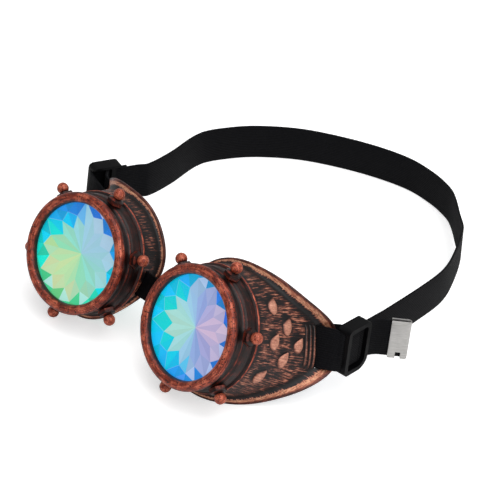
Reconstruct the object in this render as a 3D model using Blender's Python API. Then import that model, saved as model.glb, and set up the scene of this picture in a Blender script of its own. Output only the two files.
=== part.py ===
# Costume goggles: two flared eye cups with screw-on bezels, crystal lenses, a rubber
# nose bridge and an elastic head strap with two slides.
# Metres, +Z up. The goggles stand on z = 0 and look along -Y. Left is the wearer's left, +X.
# A cup's own frame has +X to the temple, +Y to the face and +Z up the lens.

import math

import bmesh
import bpy
import numpy as np
from mathutils import Matrix, Vector
from mathutils.geometry import interpolate_bezier

mm = 0.001
gap = 0.3 * mm
overrun = 1.0 * mm

# Placing of the cups
nose_room = 10.475 * mm
cup_height = 35.2 * mm
cup_turn = math.radians(-4.1)
cup_pitch = math.radians(27.7)
cup_roll = math.radians(19.3)
turning_steps = 40

# Barrel, which the bezel screws onto
barrel_radius = 27.3 * mm
barrel_wall = 2.4 * mm
barrel_reach = 3.4 * mm
barrel_chamfer = 0.5 * mm

# Bezel ring
bezel_depth = 6.9 * mm
bezel_wall = 2.0 * mm
bezel_rear_ridge = 1.2 * mm
bezel_rear_ridge_depth = 1.2 * mm
bezel_front_ridge = 0.7 * mm
bezel_front_ridge_depth = 2.0 * mm
bezel_groove_wall = 0.4 * mm
bezel_bead_half_width = 2.55 * mm
bezel_bead_half_depth = 2.75 * mm
bezel_bead_reach = 8.25 * mm
bezel_lip_back = 7.3 * mm
bead_end_share = 1.22
bead_steps = 9
thread_pitch = 3.5 * mm
thread_turns = 3

# Studs round the bezel
stud_count = 6
left_stud_angle = math.radians(1.2)
right_stud_angle = math.radians(22.8)
stud_ball_radius = 2.6 * mm
stud_ball_rise = 5.4 * mm
stud_base_across = 7.2 * mm
stud_base_height = 1.7 * mm
stud_neck_radius = 1.7 * mm
stud_spigot_radius = 1.0 * mm
stud_spigot_length = 1.0 * mm
stud_sides = 12
stud_ball_rows = 5

# Crystal lens and its gasket
lens_rim_thickness = 1.2 * mm
lens_boss_height = 0.5 * mm
lens_point_depth = 7.4 * mm
lens_facets = 12
# Rows of facet corners on the lens's back: radius, depth and turn within one facet
lens_row_shares = ((0.82, 0.27, 0.5), (0.52, 0.60, 0.0), (0.20, 0.90, 0.5))
gasket_width = 1.5 * mm

# Flared wall and rim of the eye cup
shoulder_width = 2.3 * mm
rim_flare = 13.0 * mm
rim_depth = 50.3 * mm
rim_thickness = 1.8 * mm
rim_lip_nose = 1.6 * mm
rim_lip_temple = 6.2 * mm
rim_lip_rise_share = 0.3
rim_lip_fade_share = 4.0
rim_fillet = 3.0 * mm
cup_wall = 2.0 * mm
cup_steps = 54
wall_taper_share = 0.2

# Rim outline: angle from the temple, reach and depth as shares of rim_reach and rim_depth
rim_outline_shares = (
    (0, 0.977, 1.000), (14, 0.948, 0.932), (28, 0.906, 0.708), (45, 0.857, 0.505),
    (65, 0.793, 0.415), (90, 0.772, 0.390), (120, 0.777, 0.374), (150, 0.746, 0.402),
    (180, 0.690, 0.328), (205, 0.704, 0.195), (230, 0.737, 0.171), (262, 0.775, 0.237),
    (295, 0.838, 0.467), (315, 0.906, 0.616), (332, 0.993, 0.799), (346, 1.019, 0.966),
)

# Raised work on the temple shield: angle and depth share of each drop
drop_length = 8.6 * mm
drop_width = 5.8 * mm
drop_height = 1.2 * mm
drop_sink_share = 0.15
drop_taper_share = 0.45
drop_place_shares = (
    (29, 0.350), (-3, 0.358), (-35, 0.332), (11, 0.505), (-17, 0.493), (-5, 0.648),
)
drop_lean = math.radians(12)
bar_height = 0.9 * mm
bar_rooms = (7.2 * mm, 4.7 * mm, 2.2 * mm)
bar_widths = (1.7 * mm, 1.5 * mm, 1.5 * mm)
bar_half_angle = math.radians(17)
bar_centre_angle = math.radians(-3)
bar_steps = 8

# Strap slot in the temple shield
slot_depth_share = 0.873
slot_drop = 1.9 * mm
slot_width = 2.2 * mm
slot_side_room = 0.6 * mm
slot_outer_room = 3.4 * mm
slot_inner_room = 7.0 * mm

# Webbing
strap_width = 20.0 * mm
strap_thickness = 1.2 * mm
strap_gap = 0.3 * mm
strap_back = 198.3 * mm
strap_side_room = 6.325 * mm
strap_front_room = 8.2 * mm
strap_fall = 14.5 * mm

# Head strap from the left slide round the back to the right one: side and depth, as shares
# of strap_half_span and of the way from strap_front to the back
strap_route_shares = (
    (0.939, 0.353), (0.904, 0.484), (0.839, 0.588), (0.673, 0.768), (0.562, 0.834),
    (0.369, 0.940), (0.243, 0.976), (0.130, 0.993), (-0.034, 1.000), (-0.236, 0.971),
    (-0.472, 0.906), (-0.685, 0.820), (-0.854, 0.705), (-0.944, 0.604), (-1.000, 0.475),
    (-0.933, 0.273), (-0.910, 0.151),
)
strap_route_steps = 3

# Loop of webbing round the rim at the temple, in the cup's frame, from the outer layer
# through the slot to the inner layer: shares of rim_reach and rim_depth, and how far the
# band has turned and risen from the slot's line to the slide's
loop_route_shares = (
    (1.075, 0.925, 0.50), (1.030, 0.898, 0.20), (0.970, 0.885, 0.05), (0.910, 0.876, 0.0),
    (0.843, 0.873, 0.0), (0.775, 0.873, 0.0), (0.732, 0.885, 0.0), (0.714, 0.915, 0.0),
    (0.716, 0.965, 0.05), (0.756, 1.020, 0.20), (0.845, 1.060, 0.50), (0.939, 1.090, 0.85),
    (1.005, 1.108, 1.00),
)
loop_join = 0.6 * mm
loop_join_step = 2.4 * mm
loop_end_room = 0.7 * mm

# Slides
glide_length = 16.6 * mm
glide_height = 25.6 * mm
glide_bar = 2.3 * mm
glide_plate = 2.3 * mm
glide_bar_thickness = 1.5 * mm
glide_centre_bar = 2.4 * mm
glide_centre_shift = 3.0 * mm
glide_stem = 1.8 * mm
glide_corner = 2.6 * mm
glide_low_corner = 6.5 * mm
left_glide_lag = 3.2 * mm
left_glide_drop = 1.8 * mm
left_glide_room = 4.625 * mm
left_glide_turn = math.radians(3)
right_glide_lag = 6.2 * mm
right_glide_drop = 0.0 * mm
right_glide_room = 6.825 * mm
right_glide_turn = math.radians(17)
left_glide_travel = 10.0 * mm
right_glide_travel = 4.0 * mm

# Tail and its clip
tail_start = 4.3 * mm
tail_straight = 9.4 * mm
tail_bend_radius = 10.3 * mm
tail_bend = math.radians(51)
tail_run = 3.4 * mm
clip_length = 9.5 * mm
clip_sheet = 0.6 * mm
clip_overhang = 0.4 * mm
clip_insert = 7.6 * mm
short_end_reach = 3.5 * mm

# Nose bridge
bridge_height = 13.0 * mm
bridge_thickness = 1.9 * mm
bridge_bead_radius = 1.8 * mm
bridge_seat_inset = 1.6 * mm
bridge_seat_depth = 12.0 * mm
bridge_seat_height = 6.5 * mm
bridge_bead_inset = 6.1 * mm
bridge_bead_sides = 12
bridge_slot_room = 0.35 * mm
bridge_slot_reach = 4.0 * mm

shoulder_depth = bezel_depth + gap
barrel_bore = barrel_radius - barrel_wall
bezel_bore = barrel_radius + gap
bezel_radius = bezel_bore + bezel_wall
bezel_groove_radius = bezel_bore + bezel_groove_wall
bezel_bead_radius = barrel_radius
stud_ball_centre = bezel_radius + stud_ball_rise
lens_radius = bezel_bore - 2 * gap - gap
lens_boss_radius = bezel_bead_radius - bezel_bead_half_width - gap
shoulder_radius = barrel_radius + shoulder_width
rim_reach = shoulder_radius + rim_flare
cup_spacing = 2 * (shoulder_radius + nose_room)
bridge_seat_x = shoulder_radius - bridge_seat_inset
slot_depth = rim_depth * slot_depth_share
bar_depths = tuple(slot_depth - room for room in bar_rooms)
strap_front = rim_depth + strap_front_room
left_glide_back = rim_depth + left_glide_lag
right_glide_back = rim_depth + right_glide_lag
left_glide_side = cup_spacing / 2 + rim_reach + left_glide_room
right_glide_side = cup_spacing / 2 + rim_reach + right_glide_room
strap_half_span = cup_spacing / 2 + rim_reach + strap_side_room
layer_offset = (strap_thickness + strap_gap) / 2
layers_half = layer_offset + strap_thickness / 2
strap_slope = math.atan2(strap_fall, strap_back - strap_front)
left_glide_place = (left_glide_side, left_glide_back, left_glide_drop, left_glide_turn)
right_glide_place = (right_glide_side, right_glide_back, right_glide_drop, right_glide_turn)
mirror = Matrix.Diagonal((-1.0, 1.0, 1.0, 1.0))


def clear_scene():
    for item in list(bpy.data.objects):
        bpy.data.objects.remove(item, do_unlink=True)


def material(name, colour, roughness, metallic, transmission=0.0):
    made = bpy.data.materials.new(name)
    made.use_nodes = True
    shader = made.node_tree.nodes["Principled BSDF"]
    shader.inputs["Base Color"].default_value = (*colour, 1.0)
    shader.inputs["Roughness"].default_value = roughness
    shader.inputs["Metallic"].default_value = metallic
    shader.inputs["Transmission Weight"].default_value = transmission
    return made


def empty(name, matrix, parent):
    made = bpy.data.objects.new(name, None)
    bpy.context.collection.objects.link(made)
    made.parent = parent
    made.matrix_local = matrix
    return made


def solid(name, mesh_builder, look, parent, matrix=None, guide=False, hand=1):
    """Finish a bmesh as one object with faces pointing out; the right hand is mirrored."""
    if hand < 0:
        bmesh.ops.transform(mesh_builder, matrix=mirror, verts=mesh_builder.verts)
    bmesh.ops.recalc_face_normals(mesh_builder, faces=mesh_builder.faces)
    mesh = bpy.data.meshes.new(name)
    mesh_builder.to_mesh(mesh)
    mesh_builder.free()
    mesh.materials.append(look)
    made = bpy.data.objects.new(name, mesh)
    bpy.context.collection.objects.link(made)
    made.parent = parent
    if matrix is not None:
        made.matrix_local = matrix
    if guide:
        made.hide_render = True
        made.display_type = "WIRE"
    else:
        mesh.shade_smooth()
        mesh.set_sharp_from_angle(angle=math.radians(35))
    return made


def combine(target, tool, operation):
    step = target.modifiers.new(operation.lower(), "BOOLEAN")
    step.operation = operation
    step.object = tool
    step.solver = "EXACT"


def loft(sections, closed_path, capped):
    """Skin a row of point loops with the same count of points."""
    made = bmesh.new()
    loops = [[made.verts.new(point) for point in section] for section in sections]
    pairs = list(zip(loops, loops[1:]))
    if closed_path:
        pairs.append((loops[-1], loops[0]))
    count = len(loops[0])
    for first, second in pairs:
        for index in range(count):
            after = (index + 1) % count
            made.faces.new((first[index], first[after], second[after], second[index]))
    if capped:
        made.faces.new(loops[0])
        made.faces.new(loops[-1])
    return made


def turned(outline, steps):
    """Turn a closed outline of (radius, depth) points about the Y axis."""
    sections = []
    for step in range(steps):
        angle = math.tau * step / steps
        side = math.cos(angle)
        rise = math.sin(angle)
        sections.append([(radius * side, depth, radius * rise) for radius, depth in outline])
    return loft(sections, closed_path=True, capped=False)


def block(low, high, matrix=None):
    made = bmesh.new()
    bmesh.ops.create_cube(made, size=1.0)
    size = [top - bottom for bottom, top in zip(low, high)]
    middle = [(top + bottom) / 2 for bottom, top in zip(low, high)]
    place = Matrix.Translation(middle) @ Matrix.Diagonal((*size, 1.0))
    if matrix is not None:
        place = matrix @ place
    bmesh.ops.transform(made, matrix=place, verts=made.verts)
    return made


def join(parts):
    """Put several bmeshes into one, each still its own body."""
    whole = bmesh.new()
    for part in parts:
        spare = bpy.data.meshes.new("spare")
        part.to_mesh(spare)
        part.free()
        whole.from_mesh(spare)
        bpy.data.meshes.remove(spare)
    return whole


def round_spline(angles, values):
    """Return a smooth function through values given round a full circle."""
    count = len(angles)
    steps = [(angles[(i + 1) % count] - angles[i]) % math.tau for i in range(count)]
    system = np.zeros((count, count))
    right_side = np.zeros(count)
    for i in range(count):
        before = steps[i - 1]
        after = steps[i]
        system[i, i - 1] += before
        system[i, i] += 2 * (before + after)
        system[i, (i + 1) % count] += after
        rise_after = (values[(i + 1) % count] - values[i]) / after
        rise_before = (values[i] - values[i - 1]) / before
        right_side[i] = 6 * (rise_after - rise_before)
    bends = np.linalg.solve(system, right_side)

    def at(angle):
        turn = (angle - angles[0]) % math.tau
        i = 0
        start = 0.0
        while i < count - 1 and start + steps[i] <= turn:
            start += steps[i]
            i += 1
        span = steps[i]
        late = turn - start
        early = span - late
        j = (i + 1) % count
        curve = (bends[i] * early ** 3 + bends[j] * late ** 3) / (6 * span)
        line = (values[i] / span - bends[i] * span / 6) * early
        return curve + line + (values[j] / span - bends[j] * span / 6) * late

    return at


def smooth_route(points, steps_per_span):
    """Points of a smooth curve through the given points, ends included."""
    last = len(points) - 1
    spans = [(points[i + 1] - points[i]).length for i in range(last)]
    slopes = []
    for i in range(last + 1):
        before = max(i - 1, 0)
        after = min(i + 1, last)
        slopes.append((points[after] - points[before]) / sum(spans[before:after]))
    route = []
    for i in range(last):
        reach = spans[i] / 3
        first = points[i] + slopes[i] * reach
        second = points[i + 1] - slopes[i + 1] * reach
        curve = interpolate_bezier(points[i], first, second, points[i + 1], steps_per_span + 1)
        route.extend(curve[:-1])
    route.append(points[-1].copy())
    return route


def webbing(route, rises, width, thickness):
    """A flat band along a route, its width lying along the rises."""
    sections = []
    last = len(route) - 1
    for i, (centre, rise) in enumerate(zip(route, rises)):
        ahead = route[min(i + 1, last)] - route[max(i - 1, 0)]
        across = ahead.cross(rise).normalized() * thickness / 2
        up = rise.normalized() * width / 2
        section = [centre + up + across, centre + up - across]
        section += [centre - up - across, centre - up + across]
        sections.append(section)
    return loft(sections, closed_path=False, capped=True)


rim_angles = [math.radians(row[0]) for row in rim_outline_shares]
rim_reach_at = round_spline(rim_angles, [row[1] * rim_reach for row in rim_outline_shares])
rim_depth_at = round_spline(rim_angles, [row[2] * rim_depth for row in rim_outline_shares])


def lip_width_at(angle):
    """The rim's lip is narrow at the nose and wide at the temple."""
    share = ((1 + math.cos(angle)) / 2) ** rim_lip_fade_share
    return rim_lip_nose + (rim_lip_temple - rim_lip_nose) * share


def rim_root_at(angle):
    """Where the wall's outer face meets the front of the lip."""
    lip = lip_width_at(angle)
    depth = rim_depth_at(angle) - rim_lip_rise_share * lip - rim_thickness / 2
    depth = max(depth, shoulder_depth + gap)
    least = shoulder_radius - wall_taper_share * (depth - shoulder_depth)
    return max(rim_reach_at(angle) - lip, least), depth


def wall_radius_at(angle, depth):
    root_radius, root_depth = rim_root_at(angle)
    share = (depth - shoulder_depth) / (root_depth - shoulder_depth)
    return shoulder_radius + (root_radius - shoulder_radius) * share


def cup_section(angle):
    """Outline of the cup's wall at one angle, as (radius, depth) points."""
    root = Vector(rim_root_at(angle))
    edge = Vector((rim_reach_at(angle), rim_depth_at(angle)))
    shoulder = Vector((shoulder_radius, shoulder_depth))
    lip = (edge - root)
    lip.y += rim_thickness / 2
    lip_way = Vector((1.0, rim_lip_rise_share)).normalized()
    lip_square = Vector((lip_way.y, -lip_way.x))
    run = root - shoulder
    reach = min(rim_fillet, run.length * 0.4, lip.length * 0.4)
    wall_start = root - run.normalized() * reach
    lip_start = root + lip_way * reach
    middle = (wall_start + lip_start + 2 * root) / 4
    half = rim_thickness / 2
    tip = edge + lip_way * half * 0.5
    outline = [
        Vector((barrel_radius - barrel_chamfer, -barrel_reach)),
        Vector((barrel_radius, -barrel_reach + barrel_chamfer)),
        Vector((barrel_radius, shoulder_depth)),
        shoulder,
        shoulder + (wall_start - shoulder) * 0.5,
        wall_start,
        middle,
        lip_start,
        edge + lip_square * half,
        tip + lip_square * half * 0.5,
        tip - lip_square * half * 0.5,
        edge - lip_square * half,
    ]
    inner_root = Vector((root.x - cup_wall, 0.0))
    back = edge - lip_square * half
    inner_root.y = back.y - (back.x - inner_root.x) * rim_lip_rise_share
    bore_end = Vector((barrel_bore, shoulder_depth))
    inner_root.x = max(inner_root.x, barrel_bore + gap)
    inner_root.y = max(inner_root.y, bore_end.y + gap)
    inner_run = bore_end - inner_root
    outline.append(inner_root + (back - inner_root).normalized() * reach * 0.5)
    outline.append(inner_root + inner_run.normalized() * reach * 0.5)
    outline.append(inner_root + inner_run * 0.5)
    outline.append(bore_end)
    outline.append(Vector((barrel_bore, -barrel_reach)))
    return outline


def drop_shape(angle, depth):
    """One raised drop that lies on the shield, narrower towards its top."""
    made = bmesh.new()
    bmesh.ops.create_uvsphere(made, u_segments=8, v_segments=6, radius=1.0)
    radius = wall_radius_at(angle, depth)
    ahead = wall_radius_at(angle, depth + overrun)
    steep = math.atan2(ahead - radius, overrun)
    for vert in made.verts:
        narrow = 1 - drop_taper_share * max(vert.co.z, 0) ** 1.2
        vert.co.x *= narrow
    size = Matrix.Diagonal((drop_width / 2, drop_height, drop_length / 2, 1.0))
    stand = Matrix.Rotation(math.pi / 2, 4, "Z")
    lean = Matrix.Rotation(drop_lean, 4, "Y")
    place = Matrix.Translation((radius - drop_height * drop_sink_share, depth, 0))
    tilt = Matrix.Rotation(-steep, 4, "Z")
    swing = Matrix.Rotation(-angle, 4, "Y")
    whole = swing @ place @ tilt @ stand @ lean @ size
    bmesh.ops.transform(made, matrix=whole, verts=made.verts)
    return made


def bar_shape(depth, width):
    """One raised bar that follows the shield round, just before the strap slot."""
    sections = []
    for step in range(bar_steps + 1):
        angle = bar_centre_angle + bar_half_angle * (2 * step / bar_steps - 1)
        section = []
        for side, height in ((-1, -1), (-1, 1), (1, 1), (1, -1)):
            place = depth + side * width / 2 * (1.0 if height < 0 else 0.8)
            radius = wall_radius_at(angle, place) + height * bar_height
            section.append((radius * math.cos(angle), place, radius * math.sin(angle)))
        sections.append(section)
    return loft(sections, closed_path=False, capped=True)


def eye_cup(name, hand, axis, hinge, look):
    """Flared cup with its strap slot, its slot for the nose bridge and its raised work."""
    sections = []
    for step in range(cup_steps):
        angle = math.tau * step / cup_steps
        side = math.cos(angle)
        rise = math.sin(angle)
        sections.append([(p.x * side, p.y, p.x * rise) for p in cup_section(angle)])
    body = loft(sections, closed_path=True, capped=False)
    # Flat triangles keep the two cups exact mirrors of each other.
    bmesh.ops.triangulate(body, faces=body.faces)
    cup = solid(name, body, look, axis, hand=hand)
    half = strap_width / 2 + slot_side_room
    wall = wall_radius_at(0, slot_depth)
    cut = block(
        (wall - slot_inner_room, slot_depth - slot_width / 2, -slot_drop - half),
        (wall + slot_outer_room, slot_depth + slot_width / 2, -slot_drop + half))
    slot = solid(name + "_strap_slot", cut, look, axis, guide=True, hand=hand)
    combine(cup, slot, "DIFFERENCE")
    combine(cup, bridge_slot(name + "_bridge_slot", hand, hinge, look), "DIFFERENCE")
    raised = [drop_shape(math.radians(turn), share * rim_depth)
              for turn, share in drop_place_shares]
    raised += [bar_shape(depth, width) for depth, width in zip(bar_depths, bar_widths)]
    relief_mesh = join(raised)
    bmesh.ops.triangulate(relief_mesh, faces=relief_mesh.faces)
    relief = solid(name + "_relief", relief_mesh, look, axis, guide=True, hand=hand)
    combine(cup, relief, "UNION")


def stud(name, parent, angle, look):
    """A ball on a hexagonal base, with a spigot that sits in the bezel's wall."""
    seat = bezel_radius + gap
    neck_rise = math.sqrt(stud_ball_radius ** 2 - stud_neck_radius ** 2)

    def ring(radius, height):
        turns = [math.tau * step / stud_sides for step in range(stud_sides)]
        return [(radius * math.cos(turn), radius * math.sin(turn), height) for turn in turns]

    def hexagon(height):
        points = []
        for step in range(stud_sides):
            turn = math.tau * step / stud_sides
            from_flat = (turn + math.pi / 6) % (math.pi / 3) - math.pi / 6
            radius = stud_base_across / 2 / math.cos(from_flat)
            points.append((radius * math.cos(turn), radius * math.sin(turn), height))
        return points

    sections = [
        ring(stud_spigot_radius, seat - stud_spigot_length),
        ring(stud_spigot_radius, seat),
        hexagon(seat),
        hexagon(seat + stud_base_height),
        ring(stud_neck_radius, seat + stud_base_height),
    ]
    low = -math.asin(neck_rise / stud_ball_radius)
    for row in range(stud_ball_rows):
        rise = low + (math.pi / 2 - low) * row / stud_ball_rows
        radius = stud_ball_radius * math.cos(rise)
        sections.append(ring(radius, stud_ball_centre + stud_ball_radius * math.sin(rise)))
    made = loft(sections[:-1], closed_path=False, capped=True)
    top = [face for face in made.faces if len(face.verts) == stud_sides]
    top.sort(key=lambda face: face.calc_center_median().z)
    bmesh.ops.poke(made, faces=top[-1:], offset=stud_ball_radius * 0.12)
    return solid(name, made, look, parent, Matrix.Rotation(math.pi / 2 - angle, 4, "Y"))


def bezel_outline():
    """Section of the bezel ring: rolled bead, groove, stud band and rear ridge."""
    outline = []
    for step in range(bead_steps + 1):
        turn = math.pi + math.pi * bead_end_share * step / bead_steps
        radius = bezel_bead_radius + bezel_bead_half_width * math.cos(turn)
        depth = -bezel_bead_reach + bezel_bead_half_depth * math.sin(turn)
        outline.append((radius, depth))
    ridge = bezel_front_ridge_depth
    band_front = -bezel_front_ridge_depth
    rear = bezel_depth - bezel_rear_ridge_depth
    outline += [
        (bezel_groove_radius, band_front - 2 * ridge + bezel_front_ridge),
        (bezel_groove_radius, band_front - bezel_front_ridge),
        (bezel_groove_radius + bezel_front_ridge, band_front),
        (bezel_radius, -bezel_front_ridge),
        (bezel_radius, rear - bezel_front_ridge),
        (bezel_radius + bezel_rear_ridge, rear),
        (bezel_radius + bezel_rear_ridge, bezel_depth),
        (bezel_bore, bezel_depth),
        (bezel_bore, -barrel_reach - gap),
        (lens_radius + gap, -barrel_reach - gap),
        (lens_radius + gap, -bezel_lip_back),
        (bezel_bead_radius - bezel_bead_half_width, -bezel_lip_back),
    ]
    return outline


def bezel(name, parent, first_angle, look):
    made = turned(bezel_outline(), turning_steps)
    ring = solid(name, made, look, parent)
    holes = []
    for index in range(stud_count):
        hole = bmesh.new()
        bmesh.ops.create_cone(
            hole, cap_ends=True, segments=stud_sides,
            radius1=stud_spigot_radius + gap, radius2=stud_spigot_radius + gap,
            depth=stud_spigot_length + gap + overrun)
        middle = bezel_radius - stud_spigot_length + (stud_spigot_length + gap + overrun) / 2
        angle = first_angle + math.tau * index / stud_count
        turn = Matrix.Rotation(math.pi / 2 - angle, 4, "Y")
        place = turn @ Matrix.Translation((0, 0, middle))
        bmesh.ops.transform(hole, matrix=place, verts=hole.verts)
        holes.append(hole)
    tool = solid(name + "_stud_holes", join(holes), look, parent, guide=True)
    combine(ring, tool, "DIFFERENCE")
    return ring


def crystal(name, parent, look):
    """Disc with a raised flat front, its back cut to a faceted point inside the gasket."""
    front = -bezel_lip_back + gap
    rim_back = front + lens_rim_thickness
    seat = lens_radius - gasket_width - gap
    rows = [(seat, rim_back - lens_rim_thickness / 2, 0.0, 2 * lens_facets)]
    rows.append((seat, rim_back, 0.0, 2 * lens_facets))
    for radius_share, depth_share, phase in lens_row_shares:
        depth = rim_back + lens_point_depth * depth_share
        rows.append((seat * radius_share, depth, phase, lens_facets))
    cut = bmesh.new()
    for radius, depth, phase, points in rows:
        for step in range(points):
            turn = math.tau * (step + phase) / points
            cut.verts.new((radius * math.cos(turn), depth, radius * math.sin(turn)))
    cut.verts.new((0, rim_back + lens_point_depth, 0))
    bmesh.ops.convex_hull(cut, input=cut.verts)
    facets = solid(name + "_facets", cut, look, parent, guide=True)
    turns = [math.tau * step / turning_steps for step in range(turning_steps)]
    sections = []
    for radius, depth in ((lens_boss_radius, front - lens_boss_height),
                          (lens_boss_radius, front), (lens_radius, front),
                          (lens_radius, rim_back)):
        sections.append([(radius * math.cos(turn), depth, radius * math.sin(turn))
                         for turn in turns])
    disc = solid(name, loft(sections, closed_path=False, capped=True), look, parent)
    combine(disc, facets, "UNION")
    return disc


def gasket(name, parent, look):
    back = -barrel_reach - gap
    front = -bezel_lip_back + gap + lens_rim_thickness + gap
    outline = [
        (lens_radius, front), (lens_radius, back),
        (lens_radius - gasket_width, back), (lens_radius - gasket_width, front),
    ]
    return solid(name, turned(outline, turning_steps), look, parent)


def rounded_rectangle(length, height, corners, steps):
    """Outline with its own radius at each corner, from the low front one round."""
    points = []
    signs = ((-1, -1), (1, -1), (1, 1), (-1, 1))
    for index, ((side, rise), radius) in enumerate(zip(signs, corners)):
        centre_x = side * (length / 2 - radius)
        centre_z = rise * (height / 2 - radius)
        for step in range(steps + 1):
            turn = math.pi + math.pi / 2 * (index + step / steps)
            points.append((centre_x + radius * math.cos(turn), centre_z + radius * math.sin(turn)))
    return points


def plate(outline, low, high):
    """Extrude an outline in the slide's plane across its thickness."""
    sections = [[(x_out, u, v) for u, v in outline] for x_out in (low, high)]
    return loft(sections, closed_path=False, capped=True)


def tri_glide(name, hand, parent, look):
    """Slide: framed plate outside the webbing, with its centre bar on stems inside it."""
    outer_face = layers_half + gap
    front = outer_face + glide_plate
    back = -outer_face - glide_bar_thickness
    corners = (glide_corner, glide_low_corner, glide_corner, glide_corner)
    frame_outline = rounded_rectangle(glide_length, glide_height, corners, 4)
    frame = solid(name, plate(frame_outline, outer_face, front), look, parent, hand=hand)
    window_length = glide_length - 2 * glide_bar
    window_height = glide_height - 2 * glide_bar
    inner = glide_low_corner - glide_bar
    small = glide_corner / 2
    window_outline = rounded_rectangle(
        window_length, window_height, (small, inner, small, small), 3)
    window = plate(window_outline, outer_face - overrun, front + overrun)
    tools = solid(name + "_window", window, look, parent, guide=True, hand=hand)
    combine(frame, tools, "DIFFERENCE")
    first = glide_centre_shift - glide_centre_bar / 2
    last = glide_centre_shift + glide_centre_bar / 2
    inside = window_height / 2
    outside = inside + glide_stem
    low_stem = block((back, first, -outside), (outer_face + glide_plate / 2, last, -inside))
    high_stem = block((back, first, inside), (outer_face + glide_plate / 2, last, outside))
    bar = block((back, first, -inside - glide_stem / 2), (-outer_face, last, inside + glide_stem / 2))
    for number, piece in enumerate((low_stem, high_stem, bar)):
        tool = solid(f"{name}_stem_{number}", piece, look, parent, guide=True, hand=hand)
        combine(frame, tool, "UNION")
    return frame


def tail_end():
    """Frame at the end of the tail's bend, in the left slide's frame."""
    out = layer_offset + tail_bend_radius * (1 - math.cos(tail_bend))
    along = tail_straight + tail_bend_radius * math.sin(tail_bend)
    bend_end = Matrix.Translation((out, along, 0)) @ Matrix.Rotation(-tail_bend, 4, "Z")
    return bend_end @ Matrix.Translation((0, tail_run, 0))


def strap_tail(name, parent, look):
    """Free end of the webbing: out under the slide's rear bar, then bent away."""
    route = [Vector((layer_offset, tail_start, 0)), Vector((layer_offset, tail_straight, 0))]
    steps = 6
    for step in range(1, steps + 1):
        turn = tail_bend * step / steps
        out = layer_offset + tail_bend_radius * (1 - math.cos(turn))
        route.append(Vector((out, tail_straight + tail_bend_radius * math.sin(turn), 0)))
    route.append(tail_end() @ Vector((0, clip_insert, 0)))
    rises = [Vector((0, 0, 1))] * len(route)
    return solid(name, webbing(route, rises, strap_width, strap_thickness), look, parent)


def short_end(name, hand, parent, look):
    """End of the webbing that lies flat just behind the right slide."""
    first = Vector((layer_offset, tail_start, 0))
    last = Vector((layer_offset, glide_length / 2 + short_end_reach, 0))
    rises = [Vector((0, 0, 1))] * 2
    band = webbing([first, last], rises, strap_width, strap_thickness)
    return solid(name, band, look, parent, hand=hand)


def end_clip(name, parent, look):
    """Folded metal clip crimped over the end of the tail."""
    inside = strap_thickness / 2 + gap
    outside = inside + clip_sheet
    fold = clip_length - clip_sheet
    outline = [
        (0, inside), (0, outside), (fold, outside), (clip_length, inside),
        (clip_length, -inside), (fold, -outside), (0, -outside), (0, -inside),
        (fold, -inside), (fold, inside),
    ]
    half = strap_width / 2 + clip_overhang
    sections = [[(out, along, rise) for along, out in outline] for rise in (-half, half)]
    made = loft(sections, closed_path=False, capped=True)
    return solid(name, made, look, parent, tail_end())


def cup_frame(hand):
    turn = Matrix.Rotation(cup_turn * hand, 4, "Z")
    pitch = Matrix.Rotation(-cup_pitch, 4, "X")
    roll = Matrix.Rotation(-cup_roll * hand, 4, "Y")
    place = Matrix.Translation((cup_spacing / 2 * hand, 0, cup_height))
    return place @ turn @ pitch @ roll


def strap_height_at(depth):
    """Height of the strap's centre line, which falls to the table at the back."""
    return strap_width / 2 + math.tan(strap_slope) * (strap_back - depth)


def glide_frame(hand, side, back, drop, turn):
    """Frame of a slide: +Y runs back along the strap and +Z up its width."""
    place = Matrix.Translation((side * hand, back, strap_height_at(back) - drop))
    swing = Matrix.Rotation(turn * hand, 4, "Z")
    return place @ swing @ Matrix.Rotation(-strap_slope, 4, "X")


def strap_loop(name, hand, seat, travel, base, look):
    """Webbing from the slide over the rim, in through the slot and back to the slide."""
    cup = cup_frame(1)
    cup_rise = cup.to_3x3() @ Vector((0, 0, 1))
    seat_rise = seat.to_3x3() @ Vector((0, 0, 1))
    front = -glide_length / 2
    outer_end = tail_start - gap
    inner_end = glide_length / 2 + travel + loop_end_room
    points = [seat @ Vector((layer_offset, along, 0)) for along in (outer_end, 0, front)]
    rises = [seat_rise] * 3
    for reach, depth, share in loop_route_shares:
        point = cup @ Vector((reach * rim_reach, depth * rim_depth, -slot_drop))
        points.append(point - seat_rise * (seat.inverted() @ point).z * share)
        rises.append(cup_rise.lerp(seat_rise, share))
    for along in (loop_join, loop_join + loop_join_step, inner_end):
        points.append(seat @ Vector((-layer_offset, along, 0)))
        rises.append(seat_rise)
    band = webbing(points, rises, strap_width, strap_thickness)
    return solid(name, band, look, base, base_frame(hand).inverted(), hand=hand)


def head_strap(name, parent, look):
    """Strap from slide to slide round the back, standing on its lower edge."""
    left = glide_frame(1, *left_glide_place)
    right = glide_frame(-1, *right_glide_place)
    ends = []
    for seat, hand, travel in ((left, 1, left_glide_travel), (right, -1, right_glide_travel)):
        along = glide_length / 2 + travel + loop_end_room + gap
        start = seat @ Vector((-layer_offset * hand, along, 0))
        further = seat @ Vector((-layer_offset * hand, along + strap_width / 4, 0))
        ends.append((start, further))
    points = list(ends[0])
    for side, depth in strap_route_shares:
        back = strap_front + depth * (strap_back - strap_front)
        points.append(Vector((side * strap_half_span, back, strap_height_at(back))))
    points += [ends[1][1], ends[1][0]]
    route = smooth_route(points, strap_route_steps)
    rises = []
    last = len(route) - 1
    for i in range(last + 1):
        ahead = (route[min(i + 1, last)] - route[max(i - 1, 0)]).normalized()
        rises.append(Vector((0, 0, 1)) - ahead * ahead.z)
    return solid(name, webbing(route, rises, strap_width, strap_thickness), look, parent)


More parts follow.
